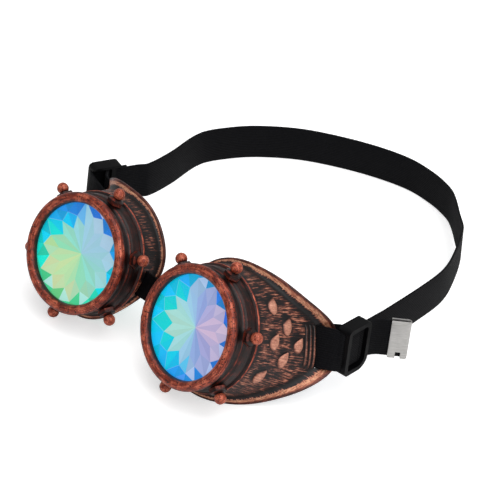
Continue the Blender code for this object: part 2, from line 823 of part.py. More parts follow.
def bridge_frame():
    seat = cup_frame(1) @ Vector((-bridge_seat_x, bridge_seat_depth, bridge_seat_height))
    place = Matrix.Translation((0, seat.y, seat.z))
    return seat.x, place @ Matrix.Rotation(-cup_pitch, 4, "X")


def nose_bridge(name, parent, look):
    """Rubber strip through a slot in each cup, held by a bead at each end."""
    seat_side, _ = bridge_frame()
    bead_side = seat_side + bridge_bead_inset
    half = bridge_thickness / 2
    open_turn = math.asin(half / bridge_bead_radius)
    outline = []
    for hand in (1, -1):
        for step in range(bridge_bead_sides + 1):
            turn = open_turn + (math.tau - 2 * open_turn) * step / bridge_bead_sides
            along = bead_side - bridge_bead_radius * math.cos(turn)
            outline.append((along * hand, bridge_bead_radius * math.sin(turn) * hand))
    height = bridge_height / 2
    sections = [[(x, y, rise) for x, y in outline] for rise in (-height, height)]
    return solid(name, loft(sections, closed_path=False, capped=True), look, parent)


def bridge_slot(name, hand, parent, look):
    seat_side, _ = bridge_frame()
    half = bridge_thickness / 2 + bridge_slot_room
    height = bridge_height / 2 + bridge_slot_room
    cut = block(
        (seat_side - bridge_slot_reach, -half, -height),
        (seat_side + bridge_bead_inset, half, height))
    return solid(name, cut, look, parent, guide=True, hand=hand)


def centre_on_table(origin):
    """Move everything so that the box of the solids stands centred on z = 0."""
    bpy.context.view_layer.update()
    graph = bpy.context.evaluated_depsgraph_get()
    low = Vector((math.inf, math.inf, math.inf))
    high = -low
    for item in bpy.data.objects:
        if item.type != "MESH" or item.hide_render:
            continue
        shape = item.evaluated_get(graph).to_mesh()
        for vert in shape.vertices:
            place = item.matrix_world @ vert.co
            low = Vector(map(min, low, place))
            high = Vector(map(max, high, place))
    origin.location = (-(low.x + high.x) / 2, -(low.y + high.y) / 2, -low.z)


def base_frame(hand):
    """The right half rides on the bridge's hinge, the left half on the origin."""
    return Matrix.Identity(4) if hand > 0 else bridge_frame()[1]


def build_side(side_name, hand, first_stud, glide_place, travel, base, hinge, looks):
    to_base = base_frame(hand).inverted()
    axis = empty(side_name + "_cup_axis", to_base @ cup_frame(hand), base)
    eye_cup(side_name + "_eye_cup", hand, axis, hinge, looks["shell"])
    first_angle = first_stud if hand > 0 else math.pi - first_stud
    bezel(side_name + "_bezel_ring", axis, first_angle, looks["copper"])
    for index in range(stud_count):
        angle = first_angle + hand * math.tau * index / stud_count
        stud(f"{side_name}_stud_{index + 1}", axis, angle, looks["copper"])
    crystal(side_name + "_crystal_lens", axis, looks["crystal"])
    gasket(side_name + "_lens_gasket", axis, looks["rubber"])
    place = to_base @ glide_frame(hand, *glide_place)
    seat = empty(side_name + "_glide_seat", place, base)
    tri_glide(side_name + "_tri_glide", hand, seat, looks["nylon"])
    strap_loop(side_name + "_strap_loop", hand, glide_frame(1, *glide_place), travel, base,
               looks["webbing"])
    return seat


def main():
    clear_scene()
    looks = {
        "shell": material("antique_copper_shell", (0.16, 0.07, 0.05), 0.5, 0.7),
        "copper": material("brushed_copper_bezel", (0.36, 0.12, 0.07), 0.42, 0.8),
        "crystal": material("rainbow_crystal", (0.55, 0.85, 0.9), 0.03, 0.0, 0.8),
        "rubber": material("black_rubber", (0.015, 0.015, 0.017), 0.6, 0.0),
        "nylon": material("black_nylon_slide", (0.02, 0.02, 0.023), 0.45, 0.0),
        "webbing": material("black_elastic_webbing", (0.013, 0.013, 0.015), 0.9, 0.0),
        "clip": material("satin_aluminium_clip", (0.75, 0.75, 0.73), 0.35, 1.0),
    }
    origin = empty("goggles_origin", Matrix.Identity(4), None)
    hinge = empty("bridge_hinge", bridge_frame()[1], origin)
    left_seat = build_side("left", 1, left_stud_angle, left_glide_place, left_glide_travel,
                           origin, hinge, looks)
    right_seat = build_side("right", -1, right_stud_angle, right_glide_place,
                            right_glide_travel, hinge, hinge, looks)
    strap_tail("left_strap_tail", left_seat, looks["webbing"])
    end_clip("left_end_clip", left_seat, looks["clip"])
    short_end("right_strap_end", -1, right_seat, looks["webbing"])
    head_strap("head_strap", origin, looks["webbing"])
    nose_bridge("nose_bridge", hinge, looks["rubber"])
    centre_on_table(origin)


main()
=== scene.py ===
import math

import bmesh
import bpy
import numpy as np
from mathutils import Matrix, Vector
from mathutils.geometry import interpolate_bezier


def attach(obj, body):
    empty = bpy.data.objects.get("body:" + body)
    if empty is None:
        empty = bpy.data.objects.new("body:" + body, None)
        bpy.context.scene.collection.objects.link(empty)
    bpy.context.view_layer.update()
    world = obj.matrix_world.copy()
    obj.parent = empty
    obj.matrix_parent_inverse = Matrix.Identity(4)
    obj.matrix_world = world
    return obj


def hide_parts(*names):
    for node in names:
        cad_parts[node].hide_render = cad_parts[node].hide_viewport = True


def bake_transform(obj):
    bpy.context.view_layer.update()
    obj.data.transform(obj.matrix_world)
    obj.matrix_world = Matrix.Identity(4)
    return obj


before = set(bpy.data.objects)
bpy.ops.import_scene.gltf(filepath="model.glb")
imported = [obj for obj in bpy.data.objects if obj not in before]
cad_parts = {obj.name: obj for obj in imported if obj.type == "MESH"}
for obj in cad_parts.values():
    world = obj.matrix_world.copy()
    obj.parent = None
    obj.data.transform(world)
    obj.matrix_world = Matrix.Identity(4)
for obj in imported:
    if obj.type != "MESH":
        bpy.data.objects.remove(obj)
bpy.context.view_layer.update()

mm = 0.001
toMetres = Matrix.Diagonal((mm, mm, mm, 1))
sideHands = {"left": 1, "right": -1}
goggleOrigin = Vector((-2.60, -88.11, 0.02))  # mm, midway between the cups, on the table


def hexColour(text):
    # sRGB hex to the linear values that shaders work in
    values = [int(text[i:i + 2], 16) / 255 for i in (1, 3, 5)]
    linear = [v / 12.92 if v <= 0.04045 else ((v + 0.055) / 1.055) ** 2.4 for v in values]
    return (*linear, 1.0)


def addNode(tree, kind, settings=None, links=None):
    # settings go to sockets, by name or number, or else to the node's own properties
    node = tree.nodes.new(kind)
    for key, value in (settings or {}).items():
        if isinstance(key, int) or key in node.inputs:
            node.inputs[key].default_value = value
        else:
            setattr(node, key, value)
    for key, source in (links or {}).items():
        tree.links.new(source, node.inputs[key])
    return node


def newMaterial(name, sockets):
    made = bpy.data.materials.new(name)
    made.use_nodes = True
    shader = made.node_tree.nodes["Principled BSDF"]
    for socket, value in sockets.items():
        shader.inputs[socket].default_value = value
    return made, made.node_tree, shader


def setRamp(ramp, stops):
    elements = ramp.color_ramp.elements
    while len(elements) < len(stops):
        elements.new(0.5)
    for element, (place, tint) in zip(elements, stops):
        element.position = place
        element.color = hexColour(tint)


def smoothStep(low, high, value):
    share = min(max((value - low) / (high - low), 0.0), 1.0)
    return share * share * (3 - 2 * share)


def skin(sections, closedPath=False, kinds=None):
    # joins a row of point loops with quads and caps the ends of an open row; kinds gives a
    # material index for each strip
    made = bmesh.new()
    loops = [[made.verts.new(point) for point in section] for section in sections]
    pairs = list(zip(loops, loops[1:]))
    if closedPath:
        pairs.append((loops[-1], loops[0]))
    count = len(loops[0])
    for first, second in pairs:
        for i in range(count):
            j = (i + 1) % count
            face = made.faces.new((first[i], first[j], second[j], second[i]))
            if kinds:
                face.material_index = kinds[i]
    if not closedPath:
        made.faces.new(loops[0])
        made.faces.new(loops[-1])
    bmesh.ops.recalc_face_normals(made, faces=made.faces)
    return made


def turn(outlineAt, steps, kinds=None):
    # sweeps a section, given as (radius, depth) for each angle, round the Y axis
    sections = []
    for step in range(steps):
        angle = math.tau * step / steps
        sections.append([(radius * math.cos(angle), depth, radius * math.sin(angle))
                         for radius, depth in outlineAt(angle)])
    return skin(sections, True, kinds)


def toObject(name, built, materials):
    mesh = bpy.data.meshes.new(name)
    built.to_mesh(mesh)
    built.free()
    for look in materials:
        mesh.materials.append(look)
    made = bpy.data.objects.new(name, mesh)
    bpy.context.collection.objects.link(made)
    return made


def cut(target, tool, operation="DIFFERENCE"):
    step = target.modifiers.new("cut", "BOOLEAN")
    step.operation = operation
    step.object = tool
    step.solver = "EXACT"


def applyAll(item):
    # turns the evaluated object into a plain mesh and drops its modifiers
    bpy.context.view_layer.update()
    graph = bpy.context.evaluated_depsgraph_get()
    mesh = bpy.data.meshes.new_from_object(item.evaluated_get(graph), depsgraph=graph)
    item.modifiers.clear()
    item.data = mesh


def discard(*items):
    for item in items:
        bpy.data.objects.remove(item, do_unlink=True)


def bevel(item, width, segments, angle):
    step = item.modifiers.new("edge", "BEVEL")
    step.width = width
    step.segments = segments
    step.limit_method = "ANGLE"
    step.angle_limit = math.radians(angle)


def flipHand(mesh):
    mesh.transform(Matrix.Diagonal((-1, 1, 1, 1)))
    mesh.flip_normals()


def settle(item, place, sharp):
    # a finished piece goes from its own frame in mm to its place on the table in metres
    item.data.transform(toMetres @ place)
    item.data.shade_smooth()
    item.data.set_sharp_from_angle(angle=math.radians(sharp))


def mount(item, body, nodes):
    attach(item, body)
    if nodes:
        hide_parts(*nodes)
def addAttribute(mesh, name, values):
    # one number or one vector for each point, for a material to read
    values = np.array(values, dtype=np.float32)
    kind, field = ("FLOAT_VECTOR", "vector") if values.ndim > 1 else ("FLOAT", "value")
    mesh.attributes.new(name, kind, "POINT").data.foreach_set(field, values.ravel())


def paint(mesh, coats):
    # for each point the place along the brush strokes and how much copper is left, less any
    # painted shade given there
    addAttribute(mesh, "stroke", [stroke for stroke, left in coats])
    addAttribute(mesh, "wearAndShade", [left for stroke, left in coats])


def roundSpline(angles, values):
    # smooth closed curve through values given round a full circle
    count = len(angles)
    steps = [(angles[(i + 1) % count] - angles[i]) % math.tau for i in range(count)]
    system = np.zeros((count, count))
    right = np.zeros(count)
    for i in range(count):
        before, after = steps[i - 1], steps[i]
        system[i, i - 1] += before
        system[i, i] += 2 * (before + after)
        system[i, (i + 1) % count] += after
        right[i] = 6 * ((values[(i + 1) % count] - values[i]) / after
                        - (values[i] - values[i - 1]) / before)
    bends = np.linalg.solve(system, right)

    def at(angle):
        late = (angle - angles[0]) % math.tau
        i = 0
        while i < count - 1 and steps[i] <= late:
            late -= steps[i]
            i += 1
        span = steps[i]
        early = span - late
        j = (i + 1) % count
        curve = (bends[i] * early ** 3 + bends[j] * late ** 3) / (6 * span)
        return (curve + (values[i] / span - bends[i] * span / 6) * early
                + (values[j] / span - bends[j] * span / 6) * late)

    return at


def smoothRoute(points, stepsPerSpan):
    # smooth open curve through the points
    last = len(points) - 1
    spans = [(points[i + 1] - points[i]).length for i in range(last)]
    slopes = []
    for i in range(last + 1):
        before, after = max(i - 1, 0), min(i + 1, last)
        slopes.append((points[after] - points[before]) / sum(spans[before:after]))
    route = []
    for i in range(last):
        reach = spans[i] / 3
        route.extend(interpolate_bezier(
            points[i], points[i] + slopes[i] * reach,
            points[i + 1] - slopes[i + 1] * reach, points[i + 1], stepsPerSpan + 1)[:-1])
    route.append(points[-1].copy())
    return route


view = {
    "place": (0.61257, -0.65781, 0.66153), "right": (0.7070, 0.7066, 0.0302),
    "up": (-0.4297, 0.3953, 0.8119),
    "lens": 158.4, "sensor": 36,  # mm
}
studio = {
    "worldStrength": 0.45, "floorTint": "#F2F2F2", "floorHalf": 4.0, "floorGlow": 0.5,
    "aim": (0, -0.02, 0.03),
    # place and size in metres, power in watts
    "lamps": {"key_softbox": ((0.95, -0.40, 0.80), 0.9, 6.6),
              "top_softbox": ((0.25, 0.1, 1.3), 1.1, 9.0)},
}


def makeCamera():
    data = bpy.data.cameras.new("photo_camera")
    data.lens = view["lens"]
    data.sensor_width = view["sensor"]
    data.clip_end = 20  # m
    camera = bpy.data.objects.new("photo_camera", data)
    bpy.context.collection.objects.link(camera)
    right = Vector(view["right"]).normalized()
    up = Vector(view["up"])
    up = (up - right * up.dot(right)).normalized()
    turned = Matrix((right, up, right.cross(up))).transposed().to_4x4()
    camera.matrix_world = Matrix.Translation(view["place"]) @ turned
    bpy.context.scene.camera = camera


def makeLamp(name, place, size, watts):
    data = bpy.data.lights.new(name, "AREA")
    data.shape = "SQUARE"
    data.size = size
    data.energy = watts
    lamp = bpy.data.objects.new(name, data)
    bpy.context.collection.objects.link(lamp)
    aim = Vector(studio["aim"]) - Vector(place)
    lamp.location = place
    lamp.rotation_euler = aim.to_track_quat("-Z", "Y").to_euler()


def makeStage():
    world = bpy.data.worlds.new("studio_world")
    bpy.context.scene.world = world
    world.use_nodes = True
    tree = world.node_tree
    # white behind the object and through its clear parts, and dimmer where it lights it
    background = tree.nodes["Background"]
    background.inputs["Color"].default_value = (1, 1, 1, 1)
    rays = addNode(tree, "ShaderNodeLightPath")
    seen = addNode(tree, "ShaderNodeMath", {"operation": "MAXIMUM"}, {
        0: rays.outputs["Is Camera Ray"], 1: rays.outputs["Is Transmission Ray"]})
    strength = addNode(tree, "ShaderNodeMapRange", {
        "To Min": studio["worldStrength"], "To Max": 1.0}, {"Value": seen.outputs[0]})
    tree.links.new(strength.outputs["Result"], background.inputs["Strength"])

    made = bmesh.new()
    bmesh.ops.create_grid(made, x_segments=1, y_segments=1, size=studio["floorHalf"])
    look, tree, shader = newMaterial("painted_studio_floor", {
        "Base Color": hexColour(studio["floorTint"]), "Roughness": 0.9,
        "Emission Color": (1, 1, 1, 1)})
    rays = addNode(tree, "ShaderNodeLightPath")
    glow = addNode(tree, "ShaderNodeMath", {"operation": "MULTIPLY", 1: studio["floorGlow"]}, {
        0: rays.outputs["Is Camera Ray"]})
    tree.links.new(glow.outputs[0], shader.inputs["Emission Strength"])
    floor = toObject("studio_floor", made, [look])
    for name, (place, size, watts) in studio["lamps"].items():
        makeLamp(name, place, size, watts)
    bpy.context.scene.view_settings.view_transform = "Standard"


makeCamera()
makeStage()
print("camera, floor and lights are in place")


copperPaint = {
    # of every copper finish: mm between the dark specks, the noise levels between which one
    # appears, its tint, and the finest grain of the brush
    "speckSize": 0.8, "speckRange": (0.585, 0.64), "speckTint": "#1C0E0C", "fineness": 0.65,
}


def copperFinish(name, look):
    # moulded plastic, sprayed black and dry-brushed with antique copper paint: raised places
    # catch the copper, grooves stay black, and the brush leaves streaks
    made, tree, shader = newMaterial(name, {
        "Metallic": look["metallic"], "Roughness": look["roughness"], "IOR": 1.5})
    stroke = addNode(tree, "ShaderNodeAttribute", {"attribute_name": "stroke"})
    # copper left at each point, darker still where painted shade was given
    wearAndShade = addNode(tree, "ShaderNodeAttribute", {"attribute_name": "wearAndShade"})
    length, width = look["streak"]  # mm, one brush streak
    stretched = addNode(tree, "ShaderNodeMapping", {
        "Scale": (1 / length[0], 1 / length[1], 1 / width)}, {"Vector": stroke.outputs["Vector"]})
    bristles = addNode(tree, "ShaderNodeTexNoise", {
        "Scale": 1.0, "Detail": 3.0, "Roughness": copperPaint["fineness"]}, {
        "Vector": stretched.outputs[0]})
    patches = addNode(tree, "ShaderNodeTexNoise", {
        "Scale": 1 / look["patch"], "Detail": 2.0}, {"Vector": stroke.outputs["Vector"]})
    specks = addNode(tree, "ShaderNodeTexNoise", {
        "Scale": 1 / copperPaint["speckSize"], "Detail": 1.0}, {
        "Vector": stroke.outputs["Vector"]})
    brushed = addNode(tree, "ShaderNodeMath", {
        "operation": "MULTIPLY_ADD", 1: look["streakGain"]}, {
        0: bristles.outputs["Fac"], 2: wearAndShade.outputs["Fac"]})
    patched = addNode(tree, "ShaderNodeMath", {
        "operation": "MULTIPLY_ADD", 1: look["patchGain"]}, {
        0: patches.outputs["Fac"], 2: brushed.outputs[0]})
    level = addNode(tree, "ShaderNodeMath", {
        "operation": "ADD", 1: -0.5 * (look["streakGain"] + look["patchGain"])}, {
        0: patched.outputs[0]})
    ramp = addNode(tree, "ShaderNodeValToRGB", {}, {"Fac": level.outputs[0]})
    setRamp(ramp, look["tints"])
    least, most = copperPaint["speckRange"]
    speck = addNode(tree, "ShaderNodeMapRange", {
        "From Min": least, "From Max": most, "To Min": 0.0, "To Max": look["speck"]}, {
        "Value": specks.outputs["Fac"]})
    worn = addNode(tree, "ShaderNodeMix", {
        "data_type": "RGBA", 7: hexColour(copperPaint["speckTint"])}, {
        0: speck.outputs["Result"], 6: ramp.outputs["Color"]})
    tree.links.new(worn.outputs[2], shader.inputs["Base Color"])
    bump = addNode(tree, "ShaderNodeBump", {
        "Strength": 0.5, "Distance": look["relief"] * mm}, {"Height": bristles.outputs["Fac"]})
    tree.links.new(bump.outputs[0], shader.inputs["Normal"])
    return made


beadTints = [(0.0, "#0F0909"), (0.30, "#32110C"), (0.55, "#602014"), (0.80, "#8C3520"),
             (1.0, "#C4654A")]
lipTints = [(0.0, "#130E0E"), (0.28, "#421C16"), (0.52, "#783C2D"), (0.78, "#AE6A50"),
            (1.0, "#DEA280")]
shieldTints = [(0.0, "#0C0A0B"), (0.40, "#1A1516"), (0.58, "#2F1F1D"), (0.72, "#66382E"),
               (0.87, "#9A5A47"), (1.0, "#C8876C")]
dropTints = [(0.0, "#0E0B0B"), (0.35, "#3A211B"), (0.60, "#8A5443"), (0.82, "#BC7F69"),
             (1.0, "#DDA288")]


def fabricFinish(name, look):
    # knitted elastic: rubber threads run lengthwise under crosswise yarn, so the band shows
    # lengthwise rows broken by fine ribs; both are drawn a little coarse so that they show
    made, tree, shader = newMaterial(name, {
        "Roughness": 0.85, "Specular IOR Level": 0.12, "Sheen Weight": 0.02,
        "Sheen Roughness": 0.5})
    weave = addNode(tree, "ShaderNodeAttribute", {"attribute_name": "weave"})
    parts = addNode(tree, "ShaderNodeSeparateXYZ", {}, {0: weave.outputs["Vector"]})
    waves = []
    for socket, spacing in ((0, look["ribSpacing"]), (1, look["rowSpacing"])):
        scaled = addNode(tree, "ShaderNodeMath", {
            "operation": "MULTIPLY", 1: math.tau / spacing}, {0: parts.outputs[socket]})
        waves.append(addNode(tree, "ShaderNodeMath", {"operation": "SINE"}, {
            0: scaled.outputs[0]}))
    height = addNode(tree, "ShaderNodeMath", {"operation": "MULTIPLY_ADD", 1: look["rib"]}, {
        0: waves[0].outputs[0], 2: waves[1].outputs[0]})
    fuzz = addNode(tree, "ShaderNodeTexNoise", {"Scale": 1 / look["fuzzSize"], "Detail": 2.0}, {
        "Vector": weave.outputs["Vector"]})
    mixed = addNode(tree, "ShaderNodeMath", {"operation": "MULTIPLY_ADD", 1: look["fuzz"]}, {
        0: fuzz.outputs["Fac"], 2: height.outputs[0]})
    ramp = addNode(tree, "ShaderNodeValToRGB")
    least, most = look["range"]
    level = addNode(tree, "ShaderNodeMapRange", {"From Min": least, "From Max": most}, {
        "Value": mixed.outputs[0]})
    tree.links.new(level.outputs["Result"], ramp.inputs["Fac"])
    setRamp(ramp, [(0.0, look["dark"]), (1.0, look["light"])])
    tree.links.new(ramp.outputs["Color"], shader.inputs["Base Color"])
    bump = addNode(tree, "ShaderNodeBump", {"Strength": 0.6, "Distance": look["relief"] * mm}, {
        "Height": mixed.outputs[0]})
    tree.links.new(bump.outputs[0], shader.inputs["Normal"])
    return made


def plainFinish(name, look):
    # moulded or rolled stock with a fine grain in its colour and its surface
    made, tree, shader = newMaterial(name, {
        "Metallic": look.get("metallic", 0.0), "Specular IOR Level": look.get("specular", 0.5),
        "IOR": look.get("ior", 1.5)})
    place = addNode(tree, "ShaderNodeTexCoord")
    stretched = addNode(tree, "ShaderNodeMapping", {
        "Scale": tuple(1 / (size * mm) for size in look["grain"])}, {
        "Vector": place.outputs["Object"]})
    grain = addNode(tree, "ShaderNodeTexNoise", {"Scale": 1.0, "Detail": 3.0}, {
        "Vector": stretched.outputs[0]})
    ramp = addNode(tree, "ShaderNodeValToRGB", {}, {"Fac": grain.outputs["Fac"]})
    setRamp(ramp, [(0.3, look["dark"]), (0.7, look["light"])])
    tree.links.new(ramp.outputs["Color"], shader.inputs["Base Color"])
    swing = 0.06  # of the roughness, from one grain to the next
    rough = addNode(tree, "ShaderNodeMapRange", {
        "To Min": look["roughness"] - swing, "To Max": look["roughness"] + swing}, {
        "Value": grain.outputs["Fac"]})
    tree.links.new(rough.outputs["Result"], shader.inputs["Roughness"])
    bump = addNode(tree, "ShaderNodeBump", {
        "Strength": 0.3, "Distance": look["relief"] * mm}, {"Height": grain.outputs["Fac"]})
    tree.links.new(bump.outputs[0], shader.inputs["Normal"])
    return made


def coatingFinish(name, look):
    # vacuum-coated facets at the back of the crystal: a thin rainbow film, one tint a facet, with a
    # painted highlight in a fine pale line along each polished edge, and a painted glow in the
    # facet's tint that stands for light coming through the crystal from behind
    made, tree, shader = newMaterial(name, {
        "Roughness": look["roughness"], "Specular IOR Level": 0.3,
        "Emission Strength": look["glow"]})
    tint = addNode(tree, "ShaderNodeAttribute", {"attribute_name": "tint"})
    inset = addNode(tree, "ShaderNodeAttribute", {"attribute_name": "inset"})
    ways = addNode(tree, "ShaderNodeSeparateXYZ", {}, {0: inset.outputs["Vector"]})
    # painted highlight: a pale line along each polished edge, fading over the given mm
    near, far = look["line"]
    line = addNode(tree, "ShaderNodeMapRange", {
        "From Min": near, "From Max": far, "To Min": look["edgeHighlightShare"], "To Max": 0.0}, {
        "Value": ways.outputs[0]})
    pale = addNode(tree, "ShaderNodeMix", {"data_type": "RGBA", 7: hexColour(look["edge"])}, {
        0: line.outputs["Result"], 6: tint.outputs["Color"]})
    lit = addNode(tree, "ShaderNodeVectorMath", {"operation": "SCALE", "Scale": look["body"]}, {
        0: pale.outputs[2]})
    tree.links.new(lit.outputs[0], shader.inputs["Base Color"])
    # painted light: each facet glows in its own tint, for the light that comes through the crystal
    # from behind
    tree.links.new(pale.outputs[2], shader.inputs["Emission Color"])
    return made


finishes = {
    # fine streaks round the ring, and specks where the black coat shows through
    "bezel": copperFinish("dry_brushed_copper_bezel", {
        "metallic": 0.35, "roughness": 0.42, "streak": ((6.0, 0.7), 6.0), "streakGain": 1.3,
        "patch": 4.0, "patchGain": 1.0, "speck": 0.95, "relief": 0.2, "tints": beadTints}),
    # close hatching across the wall, as if cut with a graver
    "shield": copperFinish("hatched_copper_shield", {
        "metallic": 0.3, "roughness": 0.5, "streak": ((0.42, 5.5), 20.0), "streakGain": 3.2,
        "patch": 5.0, "patchGain": 0.9, "speck": 0.2, "relief": 0.4, "tints": shieldTints}),
    # long strokes over the edge, which takes the most copper
    "lip": copperFinish("dry_brushed_copper_lip", {
        "metallic": 0.35, "roughness": 0.42, "streak": ((8.0, 2.0), 0.6), "streakGain": 1.2,
        "patch": 6.0, "patchGain": 0.5, "speck": 0.5, "relief": 0.2, "tints": lipTints}),
    # rubbed with a cloth: bright on top and smooth
    "drop": copperFinish("rubbed_copper_drop", {
        "metallic": 0.3, "roughness": 0.42, "streak": ((0.8, 3.0), 2.5), "streakGain": 0.8,
        "patch": 3.0, "patchGain": 0.4, "speck": 0.2, "relief": 0.15, "tints": dropTints}),
    # bare plastic as it left the mould: a dull black with a soft sheen
    "inside": plainFinish("black_moulded_plastic", {
        "dark": "#171414", "light": "#241F1E", "roughness": 0.55, "grain": (1.5, 1.5, 1.5),
        "relief": 0.05}),
    # unpainted nylon: the darkest part, with little gloss
    "slide": plainFinish("black_moulded_nylon", {
        "dark": "#020203", "light": "#060608", "roughness": 0.45, "grain": (0.8, 0.8, 0.8),
        "relief": 0.04, "specular": 0.1}),
    # silicone: black with a broad, waxy highlight
    "rubber": plainFinish("black_silicone_rubber", {
        "dark": "#040304", "light": "#0A090B", "roughness": 0.5, "grain": (2, 2, 2),
        "relief": 0.03, "ior": 1.43, "specular": 0.15}),
    # rolled sheet, brushed along the strap: pale, with its highlights drawn out upwards
    "clip": plainFinish("satin_aluminium_sheet", {
        "dark": "#ABA9A6", "light": "#C8C6C4", "roughness": 0.38, "grain": (4, 4, 0.25),
        "relief": 0.03, "metallic": 0.85}),
    "webbing": fabricFinish("black_knitted_elastic", {
        "ribSpacing": 0.7, "rowSpacing": 1.05, "rib": 0.6, "fuzz": 1.6, "fuzzSize": 0.5,
        "range": (-1.2, 2.8), "dark": "#020203", "light": "#0D0D11", "relief": 0.12}),
    # rainbow film on the facets, with a painted glow and a painted highlight along each polished
    # edge
    "coating": coatingFinish("rainbow_film_with_painted_glow", {
        "roughness": 0.18, "glow": 0.74, "body": 0.45, "edge": "#E4F0F2", "edgeHighlightShare": 0.25,
        "line": (0.06, 0.26)}),  # mm from the edge over which its pale line fades
    # optical acrylic, polished: only its gloss shows, and the facets show through it
    "clear": newMaterial("polished_clear_crystal", {
        "Base Color": (0.02, 0.03, 0.035, 1), "Roughness": 0.03, "Alpha": 0.1, "IOR": 1.49})[0],
}
print("finishes are ready")


# every piece is made in mm in its own frame, and these frames set it on the table
cupSeat = {"side": 40.075, "rise": 35.2, "turn": 4.1, "pitch": 27.7, "roll": 19.3}


def cupFrame(hand):
    seat = Vector((cupSeat["side"] * hand, 0, cupSeat["rise"])) + goggleOrigin
    turned, pitched, rolled = (math.radians(-cupSeat[key]) for key in ("turn", "pitch", "roll"))
    return (Matrix.Translation(seat) @ Matrix.Rotation(turned * hand, 4, "Z")
            @ Matrix.Rotation(pitched, 4, "X") @ Matrix.Rotation(rolled * hand, 4, "Y"))


strap = {
    # 1 stands for the wearer's left side and -1 for the right one
    "width": 20.0, "thickness": 1.2, "gap": 0.3, "back": 198.3, "halfSpan": 89.0,
    "fall": 14.5, "front": 58.5, "slideBack": {1: 53.5, -1: 56.5}, "drop": {1: 1.8, -1: 0.0},
    "side": {1: 87.3, -1: 89.5}, "turn": {1: 3.0, -1: 17.0}, "travel": {1: 10.0, -1: 4.0},
    "slotDrop": 1.9, "behind": 1.0, "lead": 5.0, "stepsPerSpan": 8,
    "underBar": (0.6, 3.0),  # where the inner layer lies flat behind the bar
    # side and depth as shares of the half span and of the way from the slides to the back
    "route": ((0.939, 0.353), (0.904, 0.484), (0.839, 0.588), (0.673, 0.768), (0.562, 0.834),
              (0.369, 0.940), (0.243, 0.976), (0.130, 0.993), (-0.034, 1.000),
              (-0.236, 0.971), (-0.472, 0.906), (-0.685, 0.820), (-0.854, 0.705),
              (-0.944, 0.604), (-1.000, 0.475), (-0.933, 0.273), (-0.910, 0.151)),
    # reach, depth and turn shares of the loop through the cup's slot
    "loop": ((1.075, 0.925, 0.50), (1.030, 0.898, 0.20), (0.970, 0.885, 0.05),
             (0.910, 0.876, 0.0), (0.843, 0.873, 0.0), (0.775, 0.873, 0.0),
             (0.732, 0.885, 0.0), (0.714, 0.915, 0.0), (0.716, 0.965, 0.05),
             (0.756, 1.020, 0.20), (0.845, 1.060, 0.50), (0.939, 1.090, 0.85),
             (1.005, 1.108, 1.00)),
}
slide = {
    "length": 16.6, "height": 25.6, "bar": 2.3, "plate": 2.3, "barThickness": 1.5,
    "centreBar": 2.4, "shift": 3.0, "stem": 1.8, "corner": 2.6, "lowCorner": 6.5, "edge": 0.5,
    "room": 10.3, "roomBehind": 11.3, "gap": 0.3,
}
layerOffset = (strap["thickness"] + strap["gap"]) / 2
layersHalf = layerOffset + strap["thickness"] / 2
strapSlope = math.atan2(strap["fall"], strap["back"] - strap["front"])


def strapHeight(depth):
    return strap["width"] / 2 + math.tan(strapSlope) * (strap["back"] - depth)


def glideFrame(hand):
    back = strap["slideBack"][hand]
    place = Vector((strap["side"][hand] * hand, back, strapHeight(back) - strap["drop"][hand]))
    place += goggleOrigin
    turned = Matrix.Rotation(math.radians(strap["turn"][hand]) * hand, 4, "Z")
    return Matrix.Translation(place) @ turned @ Matrix.Rotation(-strapSlope, 4, "X")


cup = {
    "barrelRadius": 27.3, "barrelBore": 24.9, "barrelReach": 3.4, "chamfer": 0.5,
    "shoulderRadius": 29.6, "shoulderDepth": 7.2, "reach": 42.6, "depth": 50.3,
    "rimThickness": 1.8, "lipNose": 1.6, "lipTemple": 6.2, "lipRise": 0.3, "fillet": 3.0,
    "filletShare": 0.4, "wall": 2.0, "least": 0.3, "taper": 0.2, "steps": 216,
    # degrees round the rim, with reach and depth there as shares of the largest
    "outline": ((0, 0.977, 1.000), (14, 0.948, 0.932), (28, 0.906, 0.708),
                (45, 0.857, 0.505), (65, 0.793, 0.415), (90, 0.772, 0.390),
                (120, 0.777, 0.374), (150, 0.746, 0.402), (180, 0.690, 0.328),
                (205, 0.704, 0.195), (230, 0.737, 0.171), (262, 0.775, 0.237),
                (295, 0.838, 0.467), (315, 0.906, 0.616), (332, 0.993, 0.799),
                (346, 1.019, 0.966)),
    # rooms of the webbing's slot below and above the wall, and of the bridge's slot before
    # and behind the seat
    "slotDepth": 43.91, "slotWidth": 2.2, "slotRooms": (7.0, 3.4), "slotSpare": 0.2,
    "bridgeSeat": (-28.0, 12.0, 6.5), "bridgeHeight": 13.0, "bridgeThickness": 1.9,
    "bridgeRooms": (4.0, 6.1), "bridgeSpare": 0.35,
}
shellFinishes = ("shield", "lip", "inside", "bezel")
rimAngles = [math.radians(row[0]) for row in cup["outline"]]
rimReachAt = roundSpline(rimAngles, [row[1] * cup["reach"] for row in cup["outline"]])
rimDepthAt = roundSpline(rimAngles, [row[2] * cup["depth"] for row in cup["outline"]])


def lipWidthAt(angle):
    share = ((1 + math.cos(angle)) / 2) ** 4
    return cup["lipNose"] + (cup["lipTemple"] - cup["lipNose"]) * share


def rimRootAt(angle):
    lip = lipWidthAt(angle)
    depth = rimDepthAt(angle) - cup["lipRise"] * lip - cup["rimThickness"] / 2
    depth = max(depth, cup["shoulderDepth"] + cup["least"])
    least = cup["shoulderRadius"] - cup["taper"] * (depth - cup["shoulderDepth"])
    return max(rimReachAt(angle) - lip, least), depth


def wallRadiusAt(angle, depth):
    rootRadius, rootDepth = rimRootAt(angle)
    share = (depth - cup["shoulderDepth"]) / (rootDepth - cup["shoulderDepth"])
    return cup["shoulderRadius"] + (rootRadius - cup["shoulderRadius"]) * share


def between(first, last, steps):
    return [Vector(first).lerp(Vector(last), step / steps) for step in range(steps)]


def bowed(first, middle, last, steps):
    # quadratic curve, for fillets
    made = []
    for step in range(steps):
        t = step / steps
        made.append(first * (1 - t) ** 2 + middle * (2 * t * (1 - t)) + last * t * t)
    return made


